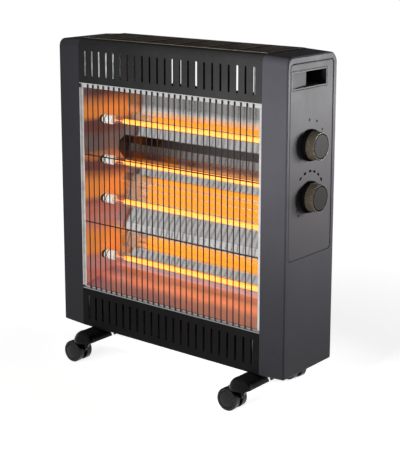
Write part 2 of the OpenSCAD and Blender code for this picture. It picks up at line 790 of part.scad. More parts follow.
module left_end_cap() {
    groove_x = half_w - 0.8;
    color([0.2, 0.2, 0.22]) mirror([1, 0, 0]) difference() {
        cap_shell();
        cap_screw_holes();
        handle_opening(floor_x - cut, half_w + cut);
        along_x(groove_x, half_w + cut) difference() {
            round_rect([panel_y0, panel_z0], [panel_y1, panel_z1], panel_corner_r);
            round_rect([panel_y0 + panel_groove, panel_z0 + panel_groove],
                [panel_y1 - panel_groove, panel_z1 - panel_groove], panel_corner_r - panel_groove);
        }
    }
}

module right_end_cap() {
    color([0.2, 0.2, 0.22]) difference() {
        cap_shell();
        cap_screw_holes();
        handle_opening(floor_x - cut, half_w + cut);
        along_x(floor_x + cap_wall, half_w + cut)
            round_rect([panel_y0, panel_z0], [panel_y1, panel_z1], panel_corner_r);
        for (z = [selector_z, thermostat_z]) rod_x(floor_x - cut, half_w, knob_y, z, bush_d + 1);
    }
}

module control_panel() {
    color([0.24, 0.24, 0.26]) difference() {
        along_x(panel_x - panel_t, panel_x)
            round_rect([panel_y0 + panel_groove, panel_z0 + panel_groove],
                [panel_y1 - panel_groove, panel_z1 - panel_groove], panel_corner_r - panel_groove);
        handle_opening(panel_x - panel_t - cut, panel_x + cut);
        for (z = [selector_z, thermostat_z])
            rod_x(panel_x - panel_t - cut, panel_x + cut, knob_y, z, bush_d + 1);
    }
}

// Moulded cup on the right: a shallow finger ramp in front, a deep pocket behind; face_x is its rim
module handle_cup(face_x) {
    y0 = handle_y0 + seam_gap;
    y1 = handle_y1 - seam_gap;
    z0 = handle_z0 + seam_gap;
    z1 = handle_z1 - seam_gap;
    pocket_y = y1 - cup_wall - pocket_w;
    back_x = face_x - pocket_depth;
    difference() {
        translate([0, 0, z0]) linear_extrude(z1 - z0) polygon([
            [face_x, y0], [face_x, y1], [back_x - cup_wall, y1], [back_x - cup_wall, pocket_y - cup_wall],
            [face_x - ramp_depth - cup_wall, pocket_y - cup_wall], [face_x - ramp_start - cup_wall, y0]]);
        translate([0, 0, z0 + cup_wall]) linear_extrude(z1 - z0 - 2 * cup_wall) polygon([
            [face_x + cut, y0 + cup_wall], [face_x + cut, y1 - cup_wall], [back_x, y1 - cup_wall],
            [back_x, pocket_y], [face_x - ramp_depth, pocket_y], [face_x - ramp_start, y0 + cup_wall]]);
    }
}

module left_handle_cup() {
    color([0.12, 0.12, 0.13]) mirror([1, 0, 0]) handle_cup(half_w);
}

module right_handle_cup() {
    color([0.12, 0.12, 0.13]) handle_cup(panel_x);
}

// ---- Controls ----

// Threaded bush with its running bore, standing on the inner face of the right end cap
module control_bush(z) {
    rod_x(floor_x - eps, floor_x + bush_len, knob_y, z, bush_d);
}

module control_bore(z, depth) {
    rod_x(floor_x - depth, floor_x + bush_len + cut, knob_y, z, shaft_d + 2 * run_fit);
}

module selector_switch() {
    color([0.18, 0.18, 0.18]) difference() {
        union() {
            box([floor_x - switch_depth, knob_y - switch_w / 2, selector_z - switch_w / 2],
                [floor_x, knob_y + switch_w / 2, selector_z + switch_w / 2]);
            control_bush(selector_z);
        }
        control_bore(selector_z, switch_depth - 6);
    }
}

module thermostat() {
    color([0.7, 0.7, 0.68]) difference() {
        union() {
            rod_x(floor_x - thermostat_depth, floor_x, knob_y, thermostat_z, thermostat_d);
            control_bush(thermostat_z);
        }
        control_bore(thermostat_z, thermostat_depth - 6);
    }
}

module control_shaft(z, depth) {
    color([0.75, 0.75, 0.77]) rod_x(floor_x - depth + 0.3, shaft_end_x, knob_y, z, shaft_d);
}

module selector_shaft() {
    control_shaft(selector_z, switch_depth - 6);
}

module thermostat_shaft() {
    control_shaft(thermostat_z, thermostat_depth - 6);
}

module bush_nuts() {
    color([0.75, 0.75, 0.77])
        for (z = [selector_z, thermostat_z]) difference() {
            translate([panel_x, knob_y, z]) rotate([0, 90, 0])
                cylinder(d = nut_flats / cos(30), h = nut_t, $fn = 6);
            rod_x(panel_x - cut, panel_x + nut_t + cut, knob_y, z, bush_d + 2 * press_gap);
        }
}

// Fluted knob on a round skirt, hollow underneath, with a boss on the shaft
module knob(z) {
    top_x = knob_x + knob_h;
    boss_d = shaft_d + 7;
    color([0.07, 0.07, 0.07]) difference() {
        union() {
            rod_x(knob_x, knob_x + knob_skirt_h, knob_y, z, knob_skirt_d);
            rod_x(knob_x, top_x, knob_y, z, knob_d);
        }
        rod_x(knob_x - cut, knob_x + knob_cavity, knob_y, z, knob_d - 4);
        difference() {
            rod_x(knob_x, top_x - knob_roof, knob_y, z, knob_d - 6);
            rod_x(knob_x, top_x, knob_y, z, boss_d);
        }
        rod_x(knob_x, shaft_end_x + 0.2, knob_y, z, shaft_d + 2 * press_gap);
        for (i = [0 : knob_flutes - 1]) let (a = i * 360 / knob_flutes)
            rod_x(knob_x + knob_skirt_h, top_x - 1.5, knob_y + cos(a) * (knob_d / 2 + 0.4),
                z + sin(a) * (knob_d / 2 + 0.4), 1.6);
    }
}

module selector_knob() {
    knob(selector_z);
}

module thermostat_knob() {
    knob(thermostat_z);
}

// ---- Electrical pieces inside the right end cap ----

module thermal_cutout() {
    z = selector_z + cutout_rise;
    y = cutout_d / 2 + 2;
    color([0.6, 0.58, 0.5]) {
        rod_x(inner_x, inner_x + cutout_h / 4, y, z, cutout_flange_d);
        rod_x(inner_x + cutout_h / 4 - eps, inner_x + cutout_h, y, z, cutout_d);
    }
}

module tilt_switch() {
    z = base_z + block_height;
    y = -block_y - tilt_w / 2;
    color([0.2, 0.2, 0.22]) {
        box([inner_x, y - tilt_w / 2, z - tilt_h / 2],
            [inner_x + tilt_depth, y + tilt_w / 2, z + tilt_h / 2]);
        box([inner_x + tilt_depth - eps, y - tilt_w / 4, z - tilt_h / 8],
            [inner_x + tilt_depth + 4, y + tilt_w / 4, z + tilt_h / 8]);
    }
}

module terminal_block() {
    z = base_z + block_height;
    color([0.9, 0.89, 0.84]) difference() {
        box([inner_x, block_y - block_w / 2, z - block_h / 2],
            [inner_x + block_depth, block_y + block_w / 2, z + block_h / 2]);
        for (i = [-1 : 1])
            rod_x(inner_x + block_screw_depth, inner_x + block_depth + cut, block_y, z + i * block_pitch,
                block_screw_d);
    }
}

module cable_gland() {
    z = base_z + gland_height;
    color([0.1, 0.1, 0.1]) difference() {
        union() {
            rod_y(half_d + 2 - gland_len, half_d + 1, gland_x, z, gland_d);
            rod_y(half_d, half_d + 2, gland_x, z, gland_d + 6);
        }
        rod_y(half_d - gland_len, half_d + 2 + cut, gland_x, z, gland_bore_d);
    }
}

// Wire through the listed points, with a ball at each corner
module wire(points) {
    for (i = [0 : len(points) - 2]) let (v = points[i + 1] - points[i], l = norm(v))
        translate(points[i]) rotate([0, acos(v[2] / l), atan2(v[1], v[0])])
            cylinder(d = wire_size, h = l, $fn = 16);
    for (i = [1 : len(points) - 2]) translate(points[i]) sphere(d = wire_size * 1.25, $fn = 16);
}

// Bus wire joining the left ends of the tubes, and one lead from each right end to the selector
module wiring_loom() {
    switch_z = selector_z - switch_w / 2;
    rise_z = switch_z - wire_clear;
    first_y = knob_y - switch_w / 2 + 4;
    block_x = inner_x + block_depth + 9;
    block_top = base_z + block_height + block_pitch;
    pot_z = thermostat_z - thermostat_d / 2;
    color([0.75, 0.2, 0.15]) {
        translate([bus_x, tube_y, tube_z[3] - bus_d])
            cylinder(d = bus_d, h = tube_z[0] - tube_z[3] + 2 * bus_d);
        for (i = [1 : 3]) let (x = lead_right_x + 1.4 + i * (wire_size + 0.8), y = knob_y - 12 + i * 6)
            wire([[lead_right_x, tube_y, tube_z[i]], [x, tube_y, tube_z[i]], [x, tube_y, rise_z],
                [x, y, rise_z], [x, y, switch_z]]);
        wire([[lead_right_x, tube_y, tube_z[0]], [lead_right_x + 3, tube_y, tube_z[0]],
            [lead_right_x + 3, first_y, tube_z[0]], [floor_x - switch_depth, first_y, tube_z[0]]]);
        wire([[inner_x + block_screw_depth, block_y, block_top], [block_x, block_y, block_top],
            [block_x, block_y, pot_z - wire_clear], [block_x, knob_y, pot_z - wire_clear],
            [block_x, knob_y, pot_z - press_gap]]);
    }
}

// ---- Feet ----

// Cross foot about x = 0: a half-round bar with round ends over the castors, and a pad under the body
module foot() {
    bar_end_y = stem_y + bar_end_out;
    hollow_y = bar_end_y - bar_end_r - bar_wall;
    difference() {
        intersection() {
            union() {
                rod_y(-bar_end_y, bar_end_y, 0, bar_z, 2 * bar_r);
                for (s = [-1, 1]) translate([0, s * bar_end_y, bar_z]) sphere(bar_end_r);
                box([-pad_w / 2, -pad_len / 2, base_z - pad_t], [pad_w / 2, pad_len / 2, base_z]);
            }
            box([-pad_w, -body_d, arm_z], [pad_w, body_d, base_z]);
        }
        for (s = [-1, 1]) intersection() {
            rod_y(min(s * 2, s * hollow_y), max(s * 2, s * hollow_y), 0, bar_z, 2 * (bar_r - bar_wall));
            box([-bar_r, -body_d, bar_z], [bar_r, body_d, base_z - pad_t]);
        }
        for (dx = [-1, 1], dy = [-1, 1]) translate([dx * foot_screw_x, dy * foot_screw_y, 0]) {
            translate([0, 0, base_z - pad_t - cut]) cylinder(d = screw_hole_d, h = pad_t + 2 * cut);
            translate([0, 0, bar_z]) cylinder(d = screw_head_d + 2, h = base_z - pad_t - bar_z);
        }
        for (s = [-1, 1])
            translate([0, s * stem_y, arm_z - cut])
                cylinder(d = stem_d + 2 * run_fit, h = socket_depth + cut);
    }
}

module left_foot() {
    color([0.08, 0.08, 0.08]) translate([-foot_x, 0, 0]) foot();
}

module right_foot() {
    color([0.08, 0.08, 0.08]) translate([foot_x, 0, 0]) foot();
}

// ---- Castors ----

// Puts a castor piece, drawn about its swivel axis with the wheels trailing to -X, at its spot
module at_castor(i) {
    spot = castor_spots[i];
    translate([spot[0] * foot_x, spot[1] * stem_y, 0]) rotate([0, 0, -spot[2]]) children();
}

module castor_horn() {
    web_t = wheel_gap - 2 * wheel_clear;
    color([0.09, 0.09, 0.09]) difference() {
        union() {
            rod_y(-web_t / 2, web_t / 2, -castor_trail, axle_z, axle_z * 1.3);
            translate([0, web_t / 2, 0]) rotate([90, 0, 0]) linear_extrude(web_t) polygon([
                [-castor_trail, axle_z - axle_z * 0.65], [-4, axle_z - 2], [collar_r - 2, collar_z + eps],
                [-castor_trail - 2, collar_z + eps], [-castor_trail - axle_z * 0.65, axle_z]]);
            translate([0, 0, collar_z - 6]) cylinder(r = web_t / 2 + 1.6, h = 6 + eps);
            translate([0, 0, collar_z]) cylinder(r = collar_r, h = collar_h);
        }
        rod_y(-web_t, web_t, -castor_trail, axle_z, axle_d + 2 * run_fit);
        translate([0, 0, collar_top_z - stem_sink])
            cylinder(d = stem_d + 2 * press_gap, h = stem_sink + cut);
    }
    color([0.7, 0.7, 0.72]) translate([0, 0, collar_top_z - stem_sink])
        cylinder(d = stem_d, h = stem_sink + collar_gap + socket_depth - 0.4);
}

// One wheel with its domed hub cap, its inner face at y = 0 and its dome towards +Y
module castor_wheel() {
    r = wheel_d / 2;
    rotate([-90, 0, 0]) difference() {
        rotate_extrude() polygon([
            [0, 0], [r - 1, 0], [r, 1], [r, wheel_w - 3], [r - 0.8, wheel_w - 1.6], [r - 2.6, wheel_w - 1],
            [r - 4.6, wheel_w - 1], [r - 5.4, wheel_w - 2], [r - 6.4, wheel_w - 1],
            [r * 0.35, wheel_w - 0.2], [0, wheel_w]]);
        translate([0, 0, -cut]) cylinder(d = axle_d + 2 * press_gap, h = wheel_w - 4 + cut);
    }
}

module castor_wheels(i) {
    color([0.08, 0.08, 0.08]) at_castor(i) translate([-castor_trail, 0, axle_z]) {
        translate([0, wheel_gap / 2, 0]) castor_wheel();
        mirror([0, 1, 0]) translate([0, wheel_gap / 2, 0]) castor_wheel();
    }
}

module castor_axle(i) {
    half = wheel_gap / 2 + wheel_w - 4.3;
    color([0.75, 0.75, 0.77]) at_castor(i) rod_y(-half, half, -castor_trail, axle_z, axle_d);
}

// ---- Screws ----

// Screw with its head's underside at the origin and its shank along -Z
module screw(len) {
    translate([0, 0, -len]) cylinder(d = screw_d, h = len + eps);
    cylinder(d1 = screw_head_d, d2 = screw_head_d * 0.7, h = screw_head_h);
}

module cap_screws() {
    color([0.3, 0.3, 0.3])
        for (side = [-1, 1], z = cap_screw_z)
            translate([side * (seam_x + tab_len / 2), half_d, z]) rotate([-90, 0, 0]) screw(cap_screw_len);
}

module rear_panel_screws() {
    color([0.3, 0.3, 0.3])
        for (side = [-1, 1], z = rear_screw_z)
            translate([side * (inner_x - flange_w / 2), half_d, z])
                rotate([-90, 0, 0]) screw(rear_screw_len);
}

module foot_screws() {
    color([0.3, 0.3, 0.3])
        for (x = [-foot_x, foot_x], dx = [-1, 1], dy = [-1, 1])
            translate([x + dx * foot_screw_x, dy * foot_screw_y, base_z - pad_t])
                rotate([180, 0, 0]) screw(pad_t + sheet_t + plate_t + 3);
}

placed() base_plate();
placed() left_side_plate();
placed() right_side_plate();
placed() front_top_panel();
placed() front_bottom_panel();
placed() rear_panel();
placed() top_grille();
placed() top_trim();
placed() bottom_trim();
placed() left_trim();
placed() right_trim();
placed() guard_wires();
placed() reflector();
placed() reflector_left_wall();
placed() reflector_right_wall();
placed() heating_tube(0);  // heating_tube_1
placed() heating_tube(1);  // heating_tube_2
placed() heating_tube(2);  // heating_tube_3
placed() heating_tube(3);  // heating_tube_4
placed() heating_coil(0);  // heating_coil_1
placed() heating_coil(1);  // heating_coil_2
placed() heating_coil(2);  // heating_coil_3
placed() heating_coil(3);  // heating_coil_4
placed() left_ceramic_caps();
placed() right_ceramic_caps();
placed() left_end_cap();
placed() right_end_cap();
placed() control_panel();
placed() left_handle_cup();
placed() right_handle_cup();
placed() selector_switch();
placed() thermostat();
placed() selector_shaft();
placed() thermostat_shaft();
placed() bush_nuts();
placed() selector_knob();
placed() thermostat_knob();
placed() thermal_cutout();
placed() tilt_switch();
placed() terminal_block();
placed() cable_gland();
placed() wiring_loom();
placed() left_foot();
placed() right_foot();
placed() at_castor(0) castor_horn();  // castor_horn_fl
placed() at_castor(1) castor_horn();  // castor_horn_fr
placed() at_castor(2) castor_horn();  // castor_horn_rl
placed() at_castor(3) castor_horn();  // castor_horn_rr
placed() castor_wheels(0);  // castor_wheels_fl
placed() castor_wheels(1);  // castor_wheels_fr
placed() castor_wheels(2);  // castor_wheels_rl
placed() castor_wheels(3);  // castor_wheels_rr
placed() castor_axle(0);  // castor_axle_fl
placed() castor_axle(1);  // castor_axle_fr
placed() castor_axle(2);  // castor_axle_rl
placed() castor_axle(3);  // castor_axle_rr
placed() cap_screws();
placed() foot_screws();
placed() rear_panel_screws();
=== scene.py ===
"""Looks of a free-standing halogen heater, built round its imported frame.

Metres throughout, in the frame's own axes: +X towards the knobs, -Y towards the glowing window, +Z up.
"""
import json
import logging
import math
from contextlib import contextmanager
from dataclasses import dataclass, field
from enum import Enum
from typing import Callable, Iterator, Optional, Sequence, Union

import bpy
from mathutils import Matrix, Vector


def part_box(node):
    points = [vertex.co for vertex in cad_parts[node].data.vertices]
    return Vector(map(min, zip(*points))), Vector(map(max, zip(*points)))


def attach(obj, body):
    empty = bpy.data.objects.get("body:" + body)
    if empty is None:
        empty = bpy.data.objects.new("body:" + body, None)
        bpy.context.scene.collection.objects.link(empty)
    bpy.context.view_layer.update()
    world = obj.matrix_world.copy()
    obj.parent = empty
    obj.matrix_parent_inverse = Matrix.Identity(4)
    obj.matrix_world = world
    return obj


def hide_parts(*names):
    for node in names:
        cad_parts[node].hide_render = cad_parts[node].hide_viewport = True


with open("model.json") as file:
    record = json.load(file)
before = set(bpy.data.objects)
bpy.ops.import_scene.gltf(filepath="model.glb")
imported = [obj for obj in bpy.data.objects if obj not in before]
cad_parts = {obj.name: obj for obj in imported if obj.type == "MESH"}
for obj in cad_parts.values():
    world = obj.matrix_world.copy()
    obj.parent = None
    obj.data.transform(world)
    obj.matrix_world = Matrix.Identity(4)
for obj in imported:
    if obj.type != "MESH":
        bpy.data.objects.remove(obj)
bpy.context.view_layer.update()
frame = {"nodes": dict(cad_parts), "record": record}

MM = 0.001
WHITE_STRENGTH = 1.0
COIL_LEFT_GAP = 36.0 * MM
COIL_RIGHT_GAP = 14.0 * MM
NEAR = 0.01 * MM
NOWHERE = 10000.0  # a height or reach, in millimetres, that no piece has
DUSTY_ROUGHNESS = 0.92
DUST_TINT = (0.33, 0.31, 0.29)
CHIP_TINT = (0.24, 0.23, 0.22)
# paler colour of the grille's top ridges
RIDGE_TINT = (0.42, 0.36, 0.29)
# colour that galvanised sheet turns to towards the bottom
LOW_TINT = (0.03, 0.028, 0.026)
# colour of the ceramic's ends: painted shade
END_SHADE_TINT = (0.012, 0.011, 0.010)
Colour = tuple[float, float, float]
Point = tuple[float, float, float]
Pairs = tuple[tuple[float, float], ...]
Socket = bpy.types.NodeSocket
log = logging.getLogger("heater")


class Axis(Enum):
    """Direction that a turned piece stands along."""

    X = (1.0, 0.0, 0.0)
    Y = (0.0, 1.0, 0.0)
    DOWN = (0.0, 0.0, -1.0)


class MetalLook(Enum):
    """Surface pattern of a bare metal."""

    BRUSHED = "brushed"
    SPANGLED = "spangled"
    PLATED = "plated"


# ---- Modelling by operators ----

def clear_selection() -> None:
    """Leaves edit mode and deselects every object."""
    if bpy.context.object and bpy.context.object.mode != "OBJECT":
        bpy.ops.object.mode_set(mode="OBJECT")
    bpy.ops.object.select_all(action="DESELECT")


def activate(piece: bpy.types.Object) -> None:
    """Makes one object the only selected and the active one.

    Args:
        piece: the object to work on.
    """
    clear_selection()
    piece.select_set(True)
    bpy.context.view_layer.objects.active = piece


@contextmanager
def editing(piece: bpy.types.Object, faces: Optional[Callable[[bpy.types.MeshPolygon], bool]] = None,
            edges: Optional[Callable[[Vector, Vector], bool]] = None,
            verts: Optional[Callable[[Vector], bool]] = None) -> Iterator[None]:
    """Opens edit mode with the faces, edges or vertices that a test picks, or with all of them.

    Args:
        piece: the mesh object to edit.
        faces: test of a face.
        edges: test of an edge's two ends.
        verts: test of a vertex's place.

    Yields:
        Nothing, while edit mode is open.
    """
    activate(piece)
    kind = "FACE" if faces else "EDGE" if edges else "VERT"
    bpy.ops.object.mode_set(mode="EDIT")
    bpy.ops.mesh.select_mode(type=kind)
    everything = not (faces or edges or verts)
    bpy.ops.mesh.select_all(action="SELECT" if everything else "DESELECT")
    if not everything:
        bpy.ops.object.mode_set(mode="OBJECT")
        mesh = piece.data
        if faces:
            for polygon in mesh.polygons:
                polygon.select = bool(faces(polygon))
        elif edges:
            for edge in mesh.edges:
                a, b = (mesh.vertices[i].co for i in edge.vertices)
                edge.select = bool(edges(a, b))
        else:
            for vertex in mesh.vertices:
                vertex.select = bool(verts(vertex.co))
        bpy.ops.object.mode_set(mode="EDIT")
    yield
    bpy.ops.object.mode_set(mode="OBJECT")


def apply_modifiers(piece: bpy.types.Object) -> None:
    """Applies every modifier of a piece, in order.

    Args:
        piece: the object with modifiers.
    """
    activate(piece)
    for name in [m.name for m in piece.modifiers]:
        bpy.ops.object.modifier_apply(modifier=name)


def settle(piece: bpy.types.Object, name: str, smooth_deg: float = 35.0) -> bpy.types.Object:
    """Names a piece, puts its place into its mesh, points its faces outwards and smooths it.

    Args:
        piece: the object.
        name: its final name.
        smooth_deg: the largest angle between faces that are shaded as one.

    Returns:
        The same object.
    """
    activate(piece)
    bpy.ops.object.transform_apply(location=True, rotation=True, scale=True)
    with editing(piece):
        bpy.ops.mesh.normals_make_consistent(inside=False)
    activate(piece)
    bpy.ops.object.shade_smooth_by_angle(angle=math.radians(smooth_deg))
    piece.name = name
    piece.data.name = name
    return piece


def joined(pieces: Sequence[bpy.types.Object]) -> bpy.types.Object:
    """Joins objects into the first of them.

    Args:
        pieces: the objects.

    Returns:
        The joined object.
    """
    clear_selection()
    for piece in pieces:
        piece.select_set(True)
    bpy.context.view_layer.objects.active = pieces[0]
    if len(pieces) > 1:
        bpy.ops.object.join()
    return pieces[0]


def copied(piece: bpy.types.Object, place: Matrix) -> bpy.types.Object:
    """Copies a piece, with a mesh of its own, and moves the copy.

    Args:
        piece: the object to copy.
        place: the move that the copy's mesh gets.

    Returns:
        The copy.
    """
    twin = piece.copy()
    twin.data = piece.data.copy()
    twin.data.transform(place)
    bpy.context.scene.collection.objects.link(twin)
    return twin


def turned(profile: Sequence[tuple[float, float]], segments: int, place: Point,
           axis: Axis) -> bpy.types.Object:
    """Turns a round solid, as on a lathe: a disc is extruded and resized from step to step.

    Args:
        profile: (distance along the axis, radius) of each step, in metres.
        segments: number of sides.
        place: where the axis starts.
        axis: direction of the axis.

    Returns:
        The solid, still with its own place and turn.
    """
    clear_selection()
    direction = Vector(axis.value)
    turn = Vector((0, 0, 1)).rotation_difference(direction).to_euler()
    start = Vector(place) + direction * profile[0][0]
    bpy.ops.mesh.primitive_circle_add(vertices=segments, radius=profile[0][1], fill_type="NGON",
                                      location=start, rotation=turn)
    piece = bpy.context.object
    bpy.ops.object.transform_apply(location=True, rotation=True, scale=True)
    bpy.ops.object.mode_set(mode="EDIT")
    bpy.ops.mesh.select_all(action="SELECT")
    along = [abs(v) for v in axis.value]
    for (d0, r0), (d1, r1) in zip(profile, profile[1:]):
        bpy.ops.mesh.extrude_region_move(TRANSFORM_OT_translate={"value": direction * (d1 - d0)})
        grow = r1 / r0
        bpy.ops.transform.resize(value=tuple(1.0 if a > 0.5 else grow for a in along))
    bpy.ops.object.mode_set(mode="OBJECT")
    return piece


def slab(low: Point, high: Point) -> bpy.types.Object:
    """Box between two corners.

    Args:
        low: lowest corner.
        high: highest corner.

    Returns:
        The box.
    """
    clear_selection()
    middle = (Vector(low) + Vector(high)) / 2
    bpy.ops.mesh.primitive_cube_add(size=1, location=middle)
    piece = bpy.context.object
    piece.scale = Vector(high) - Vector(low)
    bpy.ops.object.transform_apply(location=True, rotation=True, scale=True)
    return piece


def islands(piece: bpy.types.Object) -> list[tuple[Vector, Vector]]:
    """Boxes of a mesh's separate solids.

    Args:
        piece: the mesh object.

    Returns:
        Lowest and highest corner of each solid.
    """
    mesh = piece.data
    owner = list(range(len(mesh.vertices)))

    def root(index: int) -> int:
        """Follows a vertex to the first one of its solid.

        Args:
            index: the vertex.

        Returns:
            The first vertex's index.
        """
        while owner[index] != index:
            owner[index] = owner[owner[index]]
            index = owner[index]
        return index

    for edge in mesh.edges:
        first, second = (root(i) for i in edge.vertices)
        owner[max(first, second)] = min(first, second)
    corners: dict[int, list[Vector]] = {}
    merged: dict[tuple[float, ...], int] = {}
    for vertex in mesh.vertices:
        place = tuple(round(v, 6) for v in vertex.co)
        first = root(vertex.index)
        other = root(merged.setdefault(place, first))
        owner[max(first, other)] = min(first, other)
    for vertex in mesh.vertices:
        corners.setdefault(root(vertex.index), []).append(piece.matrix_world @ vertex.co)
    return [tuple(Vector([pick(c[i] for c in group) for i in range(3)]) for pick in (min, max))
            for _, group in sorted(corners.items())]


def glow_span() -> tuple[float, float]:
    """Where the coils start and stop glowing along X, inside the heating tubes."""
    low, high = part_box("heating_tube_1")
    return low.x + COIL_LEFT_GAP, high.x - COIL_RIGHT_GAP


# ---- Materials ----

class Shader:
    """A material's node tree while it is being wired."""

    def __init__(self, name: str) -> None:
        """Starts an empty material with one Principled shader.

        Args:
            name: the material's name.
        """
        self.material = bpy.data.materials.new(name)
        self.material.use_nodes = True
        self.tree = self.material.node_tree
        self.surface = self.tree.nodes["Principled BSDF"]

    def node(self, kind: str, **values: object) -> bpy.types.Node:
        """Adds a node and sets its own properties.

        Args:
            kind: the node type's identifier.
            values: properties of the node.

        Returns:
            The node.
        """
        made = self.tree.nodes.new(kind)
        for key, value in values.items():
            setattr(made, key, value)
        return made

    def plug(self, target: Socket, value: Union[Socket, float, Sequence[float]]) -> None:
        """Links a socket to another one, or sets its value.

        Args:
            target: input socket.
            value: output socket or plain value.
        """
        if isinstance(value, bpy.types.NodeSocket):
            self.tree.links.new(value, target)
        else:
            target.default_value = value

    def set(self, **values: Union[Socket, float, Sequence[float]]) -> None:
        """Sets or links the Principled shader's inputs; an underscore stands for a space.

        Args:
            values: input name and value.
        """
        for key, value in values.items():
            if isinstance(value, (tuple, list)) and len(value) == 3:
                value = (*value, 1.0)
            self.plug(self.surface.inputs[key.replace("_", " ")], value)

    def millimetres(self) -> Socket:
        """Object coordinates in millimetres.

        Returns:
            The coordinates.
        """
        scale = self.node("ShaderNodeVectorMath", operation="SCALE")
        self.plug(scale.inputs[0], self.node("ShaderNodeTexCoord").outputs["Object"])
        self.plug(scale.inputs["Scale"], 1000.0)
        return scale.outputs[0]

    def axes(self, vector: Socket) -> tuple[Socket, ...]:
        """Splits a vector.

        Args:
            vector: the vector.

        Returns:
            Its X, Y and Z.
        """
        parts = self.node("ShaderNodeSeparateXYZ")
        self.plug(parts.inputs[0], vector)
        return tuple(parts.outputs)

    def stretched(self, vector: Socket, scale: Point) -> Socket:
        """Scales a vector by axis.

        Args:
            vector: the coordinates.
            scale: factor of each axis.

        Returns:
            The scaled vector.
        """
        made = self.node("ShaderNodeMapping")
        self.plug(made.inputs["Vector"], vector)
        made.inputs["Scale"].default_value = scale
        return made.outputs[0]

    def noise(self, vector: Socket, scale: float, detail: float = 3.0, rough: float = 0.5) -> Socket:
        """Noise value.

        Args:
            vector: coordinates.
            scale: size of the pattern, per millimetre.
            detail: octaves.
            rough: share of the fine octaves.

        Returns:
            The noise's factor.
        """
        made = self.node("ShaderNodeTexNoise")
        self.plug(made.inputs["Vector"], vector)
        made.inputs["Scale"].default_value = scale
        made.inputs["Detail"].default_value = detail
        made.inputs["Roughness"].default_value = rough
        return made.outputs[0]

    def span(self, value: Socket, low: float, high: float, out_low: float, out_high: float) -> Socket:
        """Maps a range of a value to another range, clamped.

        Args:
            value: the value.
            low: start of its range.
            high: end of its range.
            out_low: what low becomes.
            out_high: what high becomes.

        Returns:
            The mapped value.
        """
        made = self.node("ShaderNodeMapRange")
        self.plug(made.inputs["Value"], value)
        for key, number in (("From Min", low), ("From Max", high), ("To Min", out_low), ("To Max", out_high)):
            made.inputs[key].default_value = number
        return made.outputs[0]

    def stripes(self, value: Socket, ranges: Sequence[tuple[float, float]], soft: float = 3.0) -> Socket:
        """Mask of several ranges of a value, with soft ends.

        Args:
            value: the value.
            ranges: start and end of each stripe.
            soft: how far an end fades.

        Returns:
            1 inside a stripe and 0 outside.
        """
        total: Optional[Socket] = None
        for low, high in ranges:
            stripe = self.maths("MULTIPLY", self.span(value, low - soft, low + soft, 0.0, 1.0),
                                self.span(value, high - soft, high + soft, 1.0, 0.0))
            total = stripe if total is None else self.maths("MAXIMUM", total, stripe)
        return total

    def blend(self, factor: Socket, first: Union[Socket, Colour], second: Union[Socket, Colour]) -> Socket:
        """Mixes two colours.

        Args:
            factor: share of the second.
            first: colour at 0.
            second: colour at 1.

        Returns:
            The mixed colour.
        """
        made = self.node("ShaderNodeMix", data_type="RGBA")
        self.plug(made.inputs[0], factor)
        for index, value in ((6, first), (7, second)):
            self.plug(made.inputs[index], value if isinstance(value, bpy.types.NodeSocket) else (*value, 1.0))
        return made.outputs[2]

    def maths(self, operation: str, *values: Union[Socket, float]) -> Socket:
        """One arithmetic step.

        Args:
            operation: the Math node's operation.
            values: its inputs.

        Returns:
            The result.
        """
        made = self.node("ShaderNodeMath", operation=operation)
        for index, value in enumerate(values):
            self.plug(made.inputs[index], value)
        return made.outputs[0]

    def group(self, tree: bpy.types.NodeTree, **values: Union[Socket, float]) -> bpy.types.Node:
        """Places a shared node group.

        Args:
            tree: the group.
            values: its inputs; an underscore stands for a space.

        Returns:
            The group node.
        """
        made = self.node("ShaderNodeGroup", node_tree=tree)
        for key, value in values.items():
            self.plug(made.inputs[key.replace("_", " ")], value)
        return made

    def bump(self, height: Socket, depth: float, normal: Optional[Socket] = None) -> Socket:
        """Bump from a height.

        Args:
            height: the height value.
            depth: metres that a height of 1 stands for.
            normal: normal that it starts from.

        Returns:
            The normal.
        """
        made = self.node("ShaderNodeBump")
        made.inputs["Strength"].default_value = 1.0
        made.inputs["Distance"].default_value = depth
        self.plug(made.inputs["Height"], height)
        if normal is not None:
            self.plug(made.inputs["Normal"], normal)
        return made.outputs[0]


class GroupShader(Shader):
    """A shared node group while it is being wired."""

    def __init__(self, name: str, inputs: dict[str, tuple[str, float]], outputs: dict[str, str]) -> None:
        """Starts a group with named sockets.

        Args:
            name: the group's name.
            inputs: name of each input, with its kind and value.
            outputs: name and kind of each output.
        """
        self.tree = bpy.data.node_groups.new(name, "ShaderNodeTree")
        for key, (kind, value) in inputs.items():
            made = self.tree.interface.new_socket(key, in_out="INPUT", socket_type=kind)
            if kind == "NodeSocketFloat":
                made.default_value = value
        for key, kind in outputs.items():
            self.tree.interface.new_socket(key, in_out="OUTPUT", socket_type=kind)
        self.source = self.tree.nodes.new("NodeGroupInput")
        self.target = self.tree.nodes.new("NodeGroupOutput")

    def given(self, name: str) -> Socket:
        """One of the group's inputs."""
        return self.source.outputs[name]

    def give(self, name: str, value: Socket) -> None:
        """Wires one of the group's outputs."""
        self.plug(self.target.inputs[name], value)


